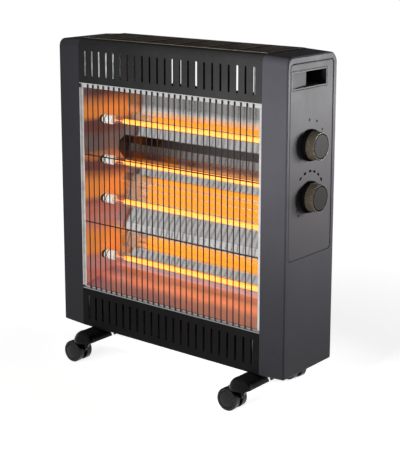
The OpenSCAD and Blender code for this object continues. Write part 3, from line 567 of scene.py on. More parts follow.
class SharedEffects:
    """Node groups that several finishes use: grain, soft worn edges, settled dust and fine scratches."""

    def __init__(self) -> None:
        """Builds each group once."""
        self.grain = self._grain()
        self.edges = self._edges()
        self.dust = self._dust()
        self.lines = self._lines()

    @staticmethod
    def _grain() -> bpy.types.NodeTree:
        """Spark-eroded grain of a moulded or coated face, with a slow mottle under it.

        Returns:
            The group.
        """
        g = GroupShader("moulded_grain",
                        {"Vector": ("NodeSocketVector", 0), "Cells": ("NodeSocketFloat", 1.2)},
                        {"Height": "NodeSocketFloat", "Mottle": "NodeSocketFloat"})
        cells = g.node("ShaderNodeTexVoronoi", feature="SMOOTH_F1")
        g.plug(cells.inputs["Vector"], g.given("Vector"))
        g.plug(cells.inputs["Scale"], g.given("Cells"))
        fine = g.noise(g.given("Vector"), 2.6, 2.0, 0.6)
        g.give("Height", g.maths("MULTIPLY_ADD", cells.outputs["Distance"], 0.7,
                                 g.maths("MULTIPLY", fine, 0.5)))
        wide = g.noise(g.given("Vector"), 0.012, 3.0, 0.55)
        near = g.noise(g.given("Vector"), 0.11, 2.0, 0.5)
        g.give("Mottle", g.span(g.maths("MULTIPLY_ADD", near, 0.35, wide), 0.45, 0.95, 0.0, 1.0))
        return g.tree

    @staticmethod
    def _edges() -> bpy.types.NodeTree:
        """Rounded look of an edge, and where it is rubbed bright.

        Returns:
            The group.
        """
        g = GroupShader("worn_edges",
                        {"Vector": ("NodeSocketVector", 0), "Radius": ("NodeSocketFloat", 0.0008)},
                        {"Normal": "NodeSocketVector", "Wear": "NodeSocketFloat"})
        soft = g.node("ShaderNodeBevel", samples=6)
        g.plug(soft.inputs["Radius"], g.given("Radius"))
        g.give("Normal", soft.outputs[0])
        plain = g.node("ShaderNodeNewGeometry")
        turn = g.node("ShaderNodeVectorMath", operation="DOT_PRODUCT")
        g.plug(turn.inputs[0], soft.outputs[0])
        g.plug(turn.inputs[1], plain.outputs["Normal"])
        mask = g.span(turn.outputs["Value"], 0.985, 0.8, 0.0, 1.0)
        patchy = g.span(g.noise(g.given("Vector"), 0.16, 4.0, 0.65), 0.38, 0.66, 0.0, 1.0)
        g.give("Wear", g.maths("MULTIPLY", mask, patchy))
        return g.tree

    @staticmethod
    def _dust() -> bpy.types.NodeTree:
        """Dust that settles on faces that look up.

        Returns:
            The group.
        """
        g = GroupShader("settled_dust",
                        {"Vector": ("NodeSocketVector", 0), "Amount": ("NodeSocketFloat", 0.2)},
                        {"Mask": "NodeSocketFloat", "Up": "NodeSocketFloat"})
        _, _, facing = g.axes(g.node("ShaderNodeNewGeometry").outputs["Normal"])
        up = g.span(facing, 0.1, 1.0, 0.04, 1.0)
        g.give("Up", g.span(facing, 0.5, 0.95, 0.0, 1.0))
        cloud = g.span(g.noise(g.given("Vector"), 0.07, 5.0, 0.62), 0.36, 0.72, 0.15, 1.0)
        specks = g.span(g.noise(g.given("Vector"), 1.7, 2.0, 0.5), 0.60, 0.74, 0.0, 1.0)
        both = g.maths("MULTIPLY_ADD", specks, 0.5, cloud)
        g.give("Mask", g.maths("MULTIPLY", g.maths("MULTIPLY", both, up), g.given("Amount")))
        return g.tree

    @staticmethod
    def _lines() -> bpy.types.NodeTree:
        """Fine drawn lines of rolled metal; the vector is stretched along them beforehand.

        Returns:
            The group.
        """
        g = GroupShader("drawn_lines", {"Vector": ("NodeSocketVector", 0)},
                        {"Height": "NodeSocketFloat", "Smear": "NodeSocketFloat"})
        g.give("Height", g.noise(g.given("Vector"), 1.0, 4.0, 0.7))
        g.give("Smear", g.span(g.noise(g.given("Vector"), 0.08, 3.0, 0.5), 0.3, 0.7, 0.0, 1.0))
        return g.tree


@dataclass(frozen=True)
class Finish:
    """A named finish with one Principled shader: colours are linear, depths and edges in metres."""

    name: str

    def make(self, fx: SharedEffects) -> bpy.types.Material:
        """Builds the material.

        Args:
            fx: the shared node groups.

        Returns:
            The material.
        """
        s = Shader(self.name)
        self.wire(s, s.millimetres(), fx)
        return s.material

    def wire(self, s: Shader, mm: Socket, fx: SharedEffects) -> None:
        """Wires the shader's inputs.

        Args:
            s: the material's node tree.
            mm: Object coordinates in millimetres.
            fx: the shared node groups.
        """
        raise NotImplementedError


@dataclass(frozen=True)
class MouldedPlastic(Finish):
    """Grained moulded plastic with softly worn edges and a little dust; grain is in cells per millimetre."""

    colour: Colour
    pale: Colour
    roughness: float = 0.42
    grain: float = 1.1
    depth: float = 0.00005
    edge: float = 0.0009
    dust: float = 0.12
    gloss: float = 0.5

    def wire(self, s: Shader, mm: Socket, fx: SharedEffects) -> None:
        """Wires the shader's inputs.

        Args:
            s: the material's node tree.
            mm: Object coordinates in millimetres.
            fx: the shared node groups.
        """
        grain = s.group(fx.grain, Vector=mm, Cells=self.grain)
        edges = s.group(fx.edges, Vector=mm, Radius=self.edge)
        dust = s.group(fx.dust, Vector=mm, Amount=self.dust)
        body = s.blend(s.span(grain.outputs["Mottle"], 0.0, 1.0, 0.0, 0.55), self.colour, self.pale)
        worn = s.blend(s.span(edges.outputs["Wear"], 0.0, 1.0, 0.0, 0.45), body, self.pale)
        rough = s.maths("MULTIPLY_ADD", grain.outputs["Mottle"], 0.12, self.roughness - 0.04)
        s.set(Base_Color=s.blend(dust.outputs["Mask"], worn, DUST_TINT),
              Roughness=s.maths("MAXIMUM", s.span(dust.outputs["Up"], 0.0, 1.0, 0.0, DUSTY_ROUGHNESS), rough),
              Specular_IOR_Level=self.gloss,
              Normal=s.bump(grain.outputs["Height"], self.depth, edges.outputs["Normal"]))


@dataclass(frozen=True)
class CoatedSteel(Finish):
    """Powder-coated sheet: fine orange peel, slightly browned where it runs hot, chipped at the edges, paler
    above a given height.
    """

    colour: Colour
    warm: Colour
    roughness: float = 0.45
    edge: float = 0.0005
    dust: float = 0.1
    gloss: float = 0.35
    paler_above: float = NOWHERE
    cells: float = 0.7
    peel: float = 0.00006

    def wire(self, s: Shader, mm: Socket, fx: SharedEffects) -> None:
        """Wires the shader's inputs.

        Args:
            s: the material's node tree.
            mm: Object coordinates in millimetres.
            fx: the shared node groups.
        """
        grain = s.group(fx.grain, Vector=mm, Cells=self.cells)
        edges = s.group(fx.edges, Vector=mm, Radius=self.edge)
        dust = s.group(fx.dust, Vector=mm, Amount=self.dust)
        # paler colour above the given height, on the grille's top ridges
        rubbed = s.span(s.axes(mm)[2], self.paler_above, self.paler_above + 0.3, 0.0, 1.0)
        body = s.blend(rubbed, s.blend(grain.outputs["Mottle"], self.colour, self.warm), RIDGE_TINT)
        chipped = s.blend(s.span(edges.outputs["Wear"], 0.5, 1.0, 0.0, 0.35), body, CHIP_TINT)
        rough = s.span(s.noise(mm, 0.25, 3.0), 0.3, 0.7, self.roughness - 0.05, self.roughness + 0.09)
        s.set(Base_Color=s.blend(dust.outputs["Mask"], chipped, DUST_TINT),
              Roughness=s.maths("MAXIMUM", s.span(dust.outputs["Up"], 0.0, 1.0, 0.0, DUSTY_ROUGHNESS), rough),
              Specular_IOR_Level=self.gloss,
              Normal=s.bump(s.noise(mm, 1.3, 2.0, 0.4), self.peel, edges.outputs["Normal"]))


@dataclass(frozen=True)
class BareMetal(Finish):
    """Uncoated metal with the pattern that its making leaves.

    Galvanised sheet is darker towards the bottom: dark below the first of two heights, in millimetres, and
    plain above the second.
    """

    colour: Colour
    dull: Colour
    look: MetalLook
    roughness: float = 0.32
    along: Point = (0.02, 1.0, 1.0)
    edge: float = 0.0003
    darker_below: tuple[float, float] = (95.0, 150.0)
    spangles: float = 0.13

    def wire(self, s: Shader, mm: Socket, fx: SharedEffects) -> None:
        """Wires the shader's inputs.

        Args:
            s: the material's node tree.
            mm: Object coordinates in millimetres.
            fx: the shared node groups.
        """
        lines = s.group(fx.lines, Vector=s.stretched(mm, self.along))
        edges = s.group(fx.edges, Vector=mm, Radius=self.edge)
        colour: Union[Socket, Colour] = self.colour
        dull: Union[Socket, Colour] = self.dull
        smear = lines.outputs["Smear"]
        if self.look is MetalLook.SPANGLED:
            # darker towards the bottom
            lower_dark = s.span(s.axes(mm)[2], *self.darker_below, 1.0, 0.0)
            colour, dull = (s.blend(lower_dark, tint, LOW_TINT) for tint in (self.colour, self.dull))
            cells = s.node("ShaderNodeTexVoronoi", feature="F1")
            s.plug(cells.inputs["Vector"], mm)
            cells.inputs["Scale"].default_value = self.spangles
            grey = s.node("ShaderNodeSeparateColor")
            s.plug(grey.inputs[0], cells.outputs["Color"])
            tone = s.maths("MULTIPLY_ADD", grey.outputs[0], 0.8, s.maths("MULTIPLY", smear, 0.2))
            depth = 0.00002
        elif self.look is MetalLook.BRUSHED:
            tone = s.maths("MULTIPLY_ADD", lines.outputs["Height"], 0.5, s.maths("MULTIPLY", smear, 0.5))
            depth = 0.00003
        else:
            tone = s.span(s.noise(mm, 0.4, 4.0, 0.6), 0.3, 0.7, 0.0, 1.0)
            depth = 0.00001
        s.set(Base_Color=s.blend(s.maths("MULTIPLY_ADD", edges.outputs["Wear"], -0.4, tone), colour, dull),
              Metallic=1.0,
              Roughness=s.span(tone, 0.0, 1.0, self.roughness - 0.06, self.roughness + 0.12),
              Normal=s.bump(lines.outputs["Height"], depth, edges.outputs["Normal"]))


@dataclass(frozen=True)
class MirrorSheet(Finish):
    """Polished reflector with painted reflections: a dark brown band behind the second tube, the tubes' glow in
    its bends.

    Heights are in millimetres: the first two bound the painted dark reflection, bands hold the painted glow
    reflections and the red bands the redder painted glow on the sloping foot, the sheet is satin below foot and
    painted greyer, as shade, above the top height. Along X, the dark reflection goes from the first of its
    shares to the second over its ends, and the painted glow starts over catch_ends.
    """

    bright: Colour
    # colour of the painted dark reflection behind the second tube
    dark_reflection: Colour
    dark_low: float
    dark_high: float
    glow: Colour
    bands: Pairs
    red_glow_bands: Pairs
    foot: float
    shaded_above: float
    cloud_tint: Colour = (0.5, 0.45, 0.42)
    # colour of the painted glow reflection in the bands
    glow_reflection_tint: Colour = (0.30, 0.20, 0.12)
    foot_tint: Colour = (0.56, 0.41, 0.45)
    # colour of the painted shade above the top tube
    shade_tint: Colour = (0.27, 0.262, 0.258)
    # emission of the redder painted glow on the sloping foot
    red_glow: Colour = (0.40, 0.075, 0.012)
    dark_along: tuple[float, float] = (-90.0, 60.0)
    dark_shares: tuple[float, float] = (0.97, 0.6)
    catch_ends: tuple[float, float] = (-165.0, -60.0)

    def wire(self, s: Shader, mm: Socket, fx: SharedEffects) -> None:
        """Wires the shader's inputs.

        Args:
            s: the material's node tree.
            mm: Object coordinates in millimetres.
            fx: the shared node groups.
        """
        lines = s.group(fx.lines, Vector=s.stretched(mm, (0.03, 0.6, 0.6)))
        x, _, z = s.axes(mm)
        # painted dark reflection: a brown band between the two heights, stronger towards the left
        wander = s.maths("MULTIPLY_ADD", s.noise(s.stretched(mm, (1.0, 0.4, 0.4)), 0.03, 3.0), 8.0, z)
        rise = s.span(wander, self.dark_low + 2.0, self.dark_low + 6.0, 0.0, 1.0)
        fall = s.span(wander, self.dark_high + 4.0, self.dark_high + 6.0, 1.0, 0.0)
        along = s.span(x, *self.dark_along, *self.dark_shares)
        heat = s.maths("MULTIPLY", s.maths("MULTIPLY", rise, fall), along)
        cloud = s.span(s.noise(mm, 0.05, 4.0, 0.6), 0.3, 0.75, 0.0, 0.22)
        plain = s.blend(heat, s.blend(cloud, self.bright, self.cloud_tint), self.dark_reflection)
        # painted reflections of the tubes' glow: warm bands, and redder ones on the sloping foot
        caught = s.maths("MULTIPLY", s.stripes(z, self.bands), s.span(x, *self.catch_ends, 0.0, 1.0))
        red_glow_mask = s.stripes(s.maths("MULTIPLY_ADD", s.noise(mm, 0.02, 2.0), 10.0, z), self.red_glow_bands, 4.0)
        sheen = s.blend(s.maths("MULTIPLY", caught, 0.7), plain, self.glow_reflection_tint)
        foot = s.span(z, self.foot - 6.0, self.foot + 2.0, 1.0, 0.0)
        # painted shade: the sheet greyer above the top tube
        shaded_above = s.span(z, self.shaded_above - 5.0, self.shaded_above + 5.0, 0.0, 1.0)
        smear = s.span(lines.outputs["Smear"], 0.0, 1.0, 0.09, 0.13)
        s.set(Base_Color=s.blend(shaded_above, s.blend(foot, sheen, self.foot_tint), self.shade_tint), Metallic=1.0,
              Roughness=s.maths("MULTIPLY_ADD", foot, 0.3, smear),
              # the painted glow reflections also go into the emission
              Emission_Color=s.blend(red_glow_mask, s.blend(caught, (0.0, 0.0, 0.0), self.glow), self.red_glow),
              Emission_Strength=1.0,
              Normal=s.bump(s.noise(s.stretched(mm, (1.0, 0.5, 0.5)), 0.02, 1.0, 0.2), 0.00008))


@dataclass(frozen=True)
class GlowingWall(Finish):
    """Reflector side wall: satin metal with a painted reflection of the tubes' glow, a warm painted band above
    each.

    A band fades in over band_foot from its tube's axis and out over band_head from its rise, in millimetres;
    the redder painted glow lies below low_fade from the third tube's axis.
    """

    grey: Colour
    maroon: Colour
    orange: Colour
    tube_z: tuple[float, ...]
    rises: tuple[float, ...]
    strength: float
    low_glow: Colour = (0.75, 0.21, 0.14)
    dim: float = 0.12
    band_foot: tuple[float, float] = (-1.0, 9.0)
    band_head: tuple[float, float] = (-8.0, 16.0)
    low_fade: tuple[float, float] = (-12.0, 8.0)

    def wire(self, s: Shader, mm: Socket, fx: SharedEffects) -> None:
        """Wires the shader's inputs.

        Args:
            s: the material's node tree.
            mm: Object coordinates in millimetres.
            fx: the shared node groups.
        """
        lines = s.group(fx.lines, Vector=s.stretched(mm, (0.4, 0.4, 0.03)))
        height = s.maths("MULTIPLY_ADD", s.noise(mm, 0.04, 2.0), 6.0, s.axes(mm)[2])
        # painted reflection of the tubes' glow, one warm band above each tube
        warm: Optional[Socket] = None
        for z, rise in zip(self.tube_z, self.rises):
            foot = s.span(height, *(z + v for v in self.band_foot), 0.0, 1.0)
            head = s.span(height, *(z + rise + v for v in self.band_head), 1.0, 0.0)
            band = s.maths("MULTIPLY", foot, head)
            warm = band if warm is None else s.maths("MAXIMUM", warm, band)
        drift = s.noise(s.stretched(mm, (0.2, 0.2, 1.0)), 0.022, 2.0, 0.4)
        hues = s.blend(s.span(drift, 0.42, 0.58, 0.0, 1.0), self.grey, self.maroon)
        # redder painted glow below the third tube
        low = s.span(height, *(self.tube_z[2] + v for v in self.low_fade), 1.0, 0.0)
        ground = s.blend(low, tuple(self.dim * v for v in self.maroon), self.low_glow)
        # the warm bands are painted into the base colour and, with the redder glow below, into the emission
        s.set(Base_Color=s.blend(warm, hues, self.orange), Metallic=1.0,
              Roughness=s.span(lines.outputs["Smear"], 0.0, 1.0, 0.26, 0.36),
              Emission_Color=s.blend(warm, ground, self.orange),
              Emission_Strength=self.strength,
              Normal=s.bump(lines.outputs["Height"], 0.00002))


@dataclass(frozen=True)
class QuartzGlass(Finish):
    """Clear quartz with faint drawn streaks."""

    tint: Colour
    streak: Colour = (0.99, 0.96, 0.9)

    def wire(self, s: Shader, mm: Socket, fx: SharedEffects) -> None:
        """Wires the shader's inputs.

        Args:
            s: the material's node tree.
            mm: Object coordinates in millimetres.
            fx: the shared node groups.
        """
        lines = s.group(fx.lines, Vector=s.stretched(mm, (0.01, 0.5, 0.5)))
        s.set(Base_Color=s.blend(lines.outputs["Smear"], self.tint, self.streak),
              Roughness=s.span(lines.outputs["Smear"], 0.0, 1.0, 0.08, 0.14),
              IOR=1.45, Transmission_Weight=1.0,
              Normal=s.bump(lines.outputs["Height"], 0.00002))


@dataclass(frozen=True)
class GlowingWire(Finish):
    """Resistance wire at working heat, brightest in the middle of its length."""

    colour: Colour
    dim: Colour
    glow_from: float
    glow_to: float
    strength: float
    wire_tint: Colour = (0.10, 0.08, 0.07)
    scale_tint: Colour = (0.2, 0.16, 0.13)

    def wire(self, s: Shader, mm: Socket, fx: SharedEffects) -> None:
        """Wires the shader's inputs.

        Args:
            s: the material's node tree.
            mm: Object coordinates in millimetres.
            fx: the shared node groups; not used.
        """
        away = s.maths("ABSOLUTE", s.maths("SUBTRACT", s.axes(mm)[0], (self.glow_from + self.glow_to) / 2))
        half = (self.glow_to - self.glow_from) / 2
        end = s.span(away, half - 2.0, half + 4.0, 0.0, 1.0)
        flicker = s.span(s.noise(s.stretched(mm, (1.0, 0.1, 0.1)), 0.02, 2.0), 0.3, 0.7, 0.0, 0.12)
        glow = s.blend(s.maths("MAXIMUM", end, flicker), self.colour, self.dim)
        s.set(Base_Color=s.blend(flicker, self.wire_tint, self.scale_tint), Roughness=0.5,
              Emission_Color=glow, Emission_Strength=self.strength,
              Normal=s.bump(s.noise(mm, 2.0), 0.00002))


@dataclass(frozen=True)
class SpeckledSolid(Finish):
    """Plain dense material, such as ceramic or ink, with fine speckle and its own bump.

    Beyond the reach of its shaded ends, in millimetres from the middle, it carries painted shade, with a
    painted dark ring just inside; glow gives it a painted glow in its own colour.
    """

    colour: Colour
    speck: Colour
    roughness: float
    cells: float
    depth: float
    edge: float = 0.0004
    gloss: float = 0.5
    glow: float = 0.0
    shaded_ends: float = NOWHERE

    def wire(self, s: Shader, mm: Socket, fx: SharedEffects) -> None:
        """Wires the shader's inputs.

        Args:
            s: the material's node tree.
            mm: Object coordinates in millimetres.
            fx: the shared node groups.
        """
        edges = s.group(fx.edges, Vector=mm, Radius=self.edge)
        specks = s.noise(mm, self.cells, 4.0, 0.7)
        tone = s.maths("MAXIMUM", s.span(specks, 0.45, 0.7, 0.0, 0.8),
                       s.maths("MULTIPLY", edges.outputs["Wear"], 0.5))
        # painted shade at the ends, with a dark ring just inside
        reach = s.maths("ABSOLUTE", s.axes(mm)[0])
        dark = s.maths("MAXIMUM", s.span(reach, self.shaded_ends, self.shaded_ends + 0.6, 0.0, 1.0),
                       s.stripes(reach, ((self.shaded_ends - 7.0, self.shaded_ends - 5.0),), 0.3))
        paint = s.blend(dark, s.blend(tone, self.colour, self.speck), END_SHADE_TINT)
        s.set(Base_Color=paint,
              Roughness=s.span(specks, 0.3, 0.7, self.roughness - 0.05, self.roughness + 0.08),
              Specular_IOR_Level=self.gloss,
              # painted glow: the surface emits its own colour
              Emission_Color=paint, Emission_Strength=self.glow,
              Normal=s.bump(specks, self.depth, edges.outputs["Normal"]))


@dataclass(frozen=True)
class BraidedSleeve(Finish):
    """Woven glass-fibre sleeve of a heat-proof wire."""

    colour: Colour
    gap: Colour
    slant: float = 0.7
    strands: float = 0.5

    def wire(self, s: Shader, mm: Socket, fx: SharedEffects) -> None:
        """Wires the shader's inputs.

        Args:
            s: the material's node tree.
            mm: Object coordinates in millimetres.
            fx: the shared node groups; not used.
        """
        bands = []
        for turn in (self.slant, -self.slant):
            spin = s.node("ShaderNodeMapping")
            spin.inputs["Rotation"].default_value = (turn, turn, turn)
            s.plug(spin.inputs["Vector"], mm)
            wave = s.node("ShaderNodeTexWave")
            wave.inputs["Scale"].default_value = self.strands
            s.plug(wave.inputs["Vector"], spin.outputs[0])
            bands.append(wave.outputs[1])
        weave = s.maths("MAXIMUM", *bands)
        fuzz = s.noise(mm, 1.5, 3.0)
        s.set(Base_Color=s.blend(s.maths("MULTIPLY", weave, fuzz), self.gap, self.colour),
              Roughness=s.span(fuzz, 0.3, 0.7, 0.6, 0.85), Normal=s.bump(weave, 0.0001))


class Finishes:
    """Every finish of the heater, by the record's slot name.

    overrides names nodes with a finish of their own; the darker copies among them paint shade on the handle
    cups, the lower front panel and the bottom trim. glow_bands gives a tube's index and the ends of a band of
    painted glow reflection over its axis, and the next table the ends of the redder painted glow over the
    lowest tube's axis, in millimetres.
    """

    # darker copies that paint shade: the handle cups, the lower front panel and the bottom trim
    overrides: dict[str, str] = {
        "reflector_left_wall": "mirror_wall", "left_handle_cup": "shaded_cup_plastic",
        "right_handle_cup": "shaded_cup_plastic", "front_bottom_panel": "shaded_steel", "bottom_trim": "shaded_trim"}
    # bands of painted glow reflection on the reflector sheet, by tube
    glow_bands: tuple[tuple[int, float, float], ...] = (
        (0, -3.0, 15.0), (1, -2.0, 1.0), (2, 0.0, 41.0), (3, 13.0, 39.0))
    # bands of redder painted glow on the reflector's sloping foot
    red_glow_ends: Pairs = ((-19.0, -11.0), (-34.0, -27.0))

    def __init__(self) -> None:
        """Builds the shared groups and then each material."""
        fx = SharedEffects()
        glow_from, glow_to = (end / MM for end in glow_span())
        tube_z = tuple(sum(corner.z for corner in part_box(f"heating_tube_{i}")) / 2 / MM for i in (1, 2, 3, 4))
        top_z, low_z = tube_z[0], tube_z[3]
        finishes: list[Finish] = [
            # colour, pale, roughness, grain, depth, edge, dust, gloss
            MouldedPlastic("charcoal_plastic", (0.039, 0.038, 0.044), (0.050, 0.049, 0.056),
                           0.46, 1.1, 0.00004, 0.0012, 0.02, 0.08),
            MouldedPlastic("panel_plastic", (0.048, 0.0455, 0.0485), (0.060, 0.057, 0.060),
                           0.46, 1.3, 0.00003, 0.0030, 0.02, 0.07),
            # darker copy of the panel plastic: painted shade on the handle cups
            MouldedPlastic("shaded_cup_plastic", (0.036, 0.034, 0.037), (0.042, 0.040, 0.043),
                           0.5, 1.3, 0.00001, 0.0001, 0.0, 0.12),
            MouldedPlastic("black_plastic", (0.006, 0.006, 0.0065), (0.008, 0.008, 0.0085),
                           0.18, 1.6, 0.00001, 0.0012, 0.01, 0.12),
            MouldedPlastic("castor_plastic", (0.006, 0.006, 0.0065), (0.008, 0.008, 0.0085),
                           0.18, 1.6, 0.00001, 0.0008, 0.01, 0.15),
            MouldedPlastic("wheel_plastic", (0.006, 0.006, 0.006), (0.011, 0.011, 0.0115),
                           0.22, 1.8, 0.00002, 0.0006, 0.03, 0.24),
            MouldedPlastic("knob_plastic", (0.016, 0.012, 0.008), (0.110, 0.088, 0.062),
                           0.26, 2.0, 0.00001, 0.0004, 0.02, 0.5),
            # colour, warm, roughness, edge, dust, gloss
            CoatedSteel("black_steel", (0.019, 0.019, 0.0195), (0.026, 0.0255, 0.0255),
                        0.5, 0.0005, 0.02, 0.06),
            # darker copy of black_steel: painted shade on the lower front panel
            CoatedSteel("shaded_steel", (0.007, 0.007, 0.0075), (0.012, 0.0115, 0.0115),
                        0.5, 0.0005, 0.0, 0.05),
            CoatedSteel("grille_steel", (0.105, 0.090, 0.076), (0.135, 0.118, 0.10),
                        0.62, 0.0004, 0.04, 0.06, paler_above=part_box("top_grille")[1].z / MM - 0.5),
            CoatedSteel("guard_wire", (0.006, 0.006, 0.006), (0.014, 0.012, 0.011),
                        0.38, 0.0002, 0.01, 0.25),
            CoatedSteel("black_screw", (0.012, 0.012, 0.012), (0.04, 0.04, 0.04),
                        0.34, 0.0002, 0.05, 0.5),
            # colour, dull, look, roughness
            BareMetal("galvanised_steel", (0.62, 0.63, 0.65), (0.38, 0.39, 0.41), MetalLook.SPANGLED, 0.38),
            BareMetal("bright_trim", (0.66, 0.66, 0.65), (0.46, 0.455, 0.45), MetalLook.BRUSHED, 0.30),
            BareMetal("shaded_trim", (0.46, 0.455, 0.45), (0.32, 0.315, 0.31), MetalLook.BRUSHED, 0.42),
            BareMetal("plain_steel", (0.62, 0.62, 0.63), (0.44, 0.43, 0.42), MetalLook.PLATED, 0.30),
            # the reflector sheet: painted dark reflection, painted glow reflections and painted shade above the
            # top tube
            MirrorSheet("mirror_sheet", (0.60, 0.59, 0.585), (0.075, 0.040, 0.030),
                        dark_low=355.0, dark_high=398.0, glow=(0.62, 0.205, 0.014),
                        bands=tuple((tube_z[i] + low, tube_z[i] + high) for i, low, high in self.glow_bands),
                        red_glow_bands=tuple((low_z + low, low_z + high) for low, high in self.red_glow_ends),
                        foot=low_z - 12.0, shaded_above=top_z + 21.0),
            # the side wall's warm bands are painted glow
            GlowingWall("mirror_wall", grey=(0.36, 0.31, 0.33), maroon=(0.34, 0.15, 0.13),
                        orange=(0.90, 0.30, 0.07), tube_z=tube_z, rises=(32.0, 5.0, 40.0, 48.0),
                        strength=0.42),
            QuartzGlass("quartz", (1.0, 0.97, 0.92)),
            GlowingWire("glowing_coil", (1.0, 0.33, 0.026), (0.7, 0.16, 0.010), glow_from, glow_to,
                        strength=2.5),
            # colour, speck, roughness, cells, depth, edge, gloss
            # the ceramic's glow is painted light, and its ends carry painted shade
            SpeckledSolid("white_ceramic", (0.86, 0.84, 0.80), (0.66, 0.62, 0.56), 0.5, 0.8, 0.00005,
                          glow=0.35, shaded_ends=181.0),
            SpeckledSolid("terminal_plastic", (0.78, 0.76, 0.70), (0.6, 0.57, 0.5), 0.45, 0.6, 0.00003),
            BraidedSleeve("wire_sleeve", (0.34, 0.05, 0.03), (0.10, 0.02, 0.015)),
            # black ink: print for the dial marks, and painted shade and shadow on the knobs' rings and skirts
            SpeckledSolid("ink_and_shade", (0.003, 0.003, 0.0035), (0.008, 0.008, 0.008),
                          0.8, 1.2, 0.00001, 0.00005, 0.0),
            SpeckledSolid("faded_ink", (0.012, 0.011, 0.013), (0.02, 0.019, 0.02),
                          0.8, 1.2, 0.00001, 0.00005, 0.0),
            SpeckledSolid("knob_face", (0.010, 0.009, 0.008), (0.016, 0.014, 0.012),
                          0.5, 0.5, 0.00001, 0.0003, 0.05),
        ]
        self.by_name: dict[str, bpy.types.Material] = {f.name: f.make(fx) for f in finishes}

    def dress(self, nodes: dict[str, bpy.types.Object], slots: dict[str, str]) -> None:
        """Gives each frame node the finish of its slot.

        Args:
            nodes: the frame's nodes.
            slots: slot name of each node.
        """
        for name, piece in nodes.items():
            material = self.by_name[self.overrides.get(name, slots[name])]
            if not piece.material_slots:
                piece.data.materials.append(material)
            for index in range(len(piece.material_slots)):
                piece.material_slots[index].material = material


# ---- Sub-assemblies ----

@dataclass
class SubAssembly:
    """A named group of new pieces that ride on the frame."""

    finishes: Finishes
    made: list[str] = field(default_factory=list)

    def add(self, piece: bpy.types.Object, body: str, slot: str, finish: Optional[str] = None,
            stands_for: Sequence[str] = ()) -> bpy.types.Object:
        """Dresses a finished piece and hands it to the frame.

        Args:
            piece: the settled piece.
            body: body that it rides on.
            slot: slot that its finish comes from.
            finish: finish name where it isn't the slot's own.
            stands_for: frame nodes that it replaces.

        Returns:
            The piece.
        """
        if not piece.data.materials:
            piece.data.materials.append(self.finishes.by_name[finish or slot])
        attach(piece, body)
        if stands_for:
            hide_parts(*stands_for)
        self.made.append(piece.name)
        log.info("piece %s rides on %s", piece.name, body)
        return piece


@dataclass
class HeatingCoils(SubAssembly):
    """Four close-wound coils with straight leads, one in each quartz tube."""

    wire_r: float = 0.46 * MM
    pitch: float = 1.05 * MM
    outward: float = 0.25 * MM
    lead_r: float = 0.8 * MM
    steps: int = 10
    wire_sides: int = 6
    lead_sides: int = 10
    weld: float = 0.001 * MM

    def build(self) -> None:
        """Winds each coil by a screw modifier round its tube's axis."""
        for index in (1, 2, 3, 4):
            node = f"heating_coil_{index}"
            low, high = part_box(node)
            axis_y, axis_z = (low.y + high.y) / 2, (low.z + high.z) / 2
            coil_r = (high.z - low.z) / 2 + self.outward - self.wire_r
            coil = self.wind(coil_r, axis_y, axis_z)
            line = [(0, self.lead_r), (high.x - low.x, self.lead_r)]
            lead = turned(line, self.lead_sides, (low.x, axis_y, axis_z), Axis.X)
            piece = settle(joined([coil, lead]), f"coil_winding_{index}", smooth_deg=60)
            self.add(piece, "heater", "glowing_coil", stands_for=[node])

    def wind(self, coil_r: float, axis_y: float, axis_z: float) -> bpy.types.Object:
        """Winds one coil.

        Args:
            coil_r: radius of the wire's centre line.
            axis_y: place of the tube's axis.
            axis_z: height of the tube's axis.

        Returns:
            The coil.
        """
        start, end = glow_span()
        clear_selection()
        bpy.ops.mesh.primitive_circle_add(vertices=self.wire_sides, radius=self.wire_r, fill_type="NOTHING",
                                          location=(start + self.wire_r, axis_y, axis_z),
                                          rotation=(math.pi / 2, 0, 0))
        coil = bpy.context.object
        bpy.ops.object.transform_apply(location=False, rotation=True, scale=True)
        with editing(coil):
            bpy.ops.transform.translate(value=(0, 0, coil_r))
        screw = coil.modifiers.new("winding", "SCREW")
        screw.axis = "X"
        screw.angle = 2 * math.pi
        screw.screw_offset = self.pitch
        screw.iterations = int((end - start - 2 * self.wire_r) / self.pitch)
        screw.steps = screw.render_steps = self.steps
        apply_modifiers(coil)
        with editing(coil):
            bpy.ops.mesh.remove_doubles(threshold=self.weld)
            bpy.ops.mesh.select_all(action="DESELECT")
            bpy.ops.mesh.select_non_manifold()
            bpy.ops.mesh.edge_face_add()
        return coil


@dataclass(frozen=True)
class Seat:
    """Where a knob stands: its lower face, its axis and its height."""

    x: float
    y: float
    z: float
    tall: float

    @classmethod
    def of(cls, node: str) -> "Seat":
        """Seat of a knob's frame node."""
        low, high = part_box(node)
        return cls(low.x, (low.y + high.y) / 2, (low.z + high.z) / 2, high.x - low.x)

    def reach(self, place: Vector) -> float:
        """Distance of a place from the axis."""
        return math.hypot(place.y - self.y, place.z - self.z)


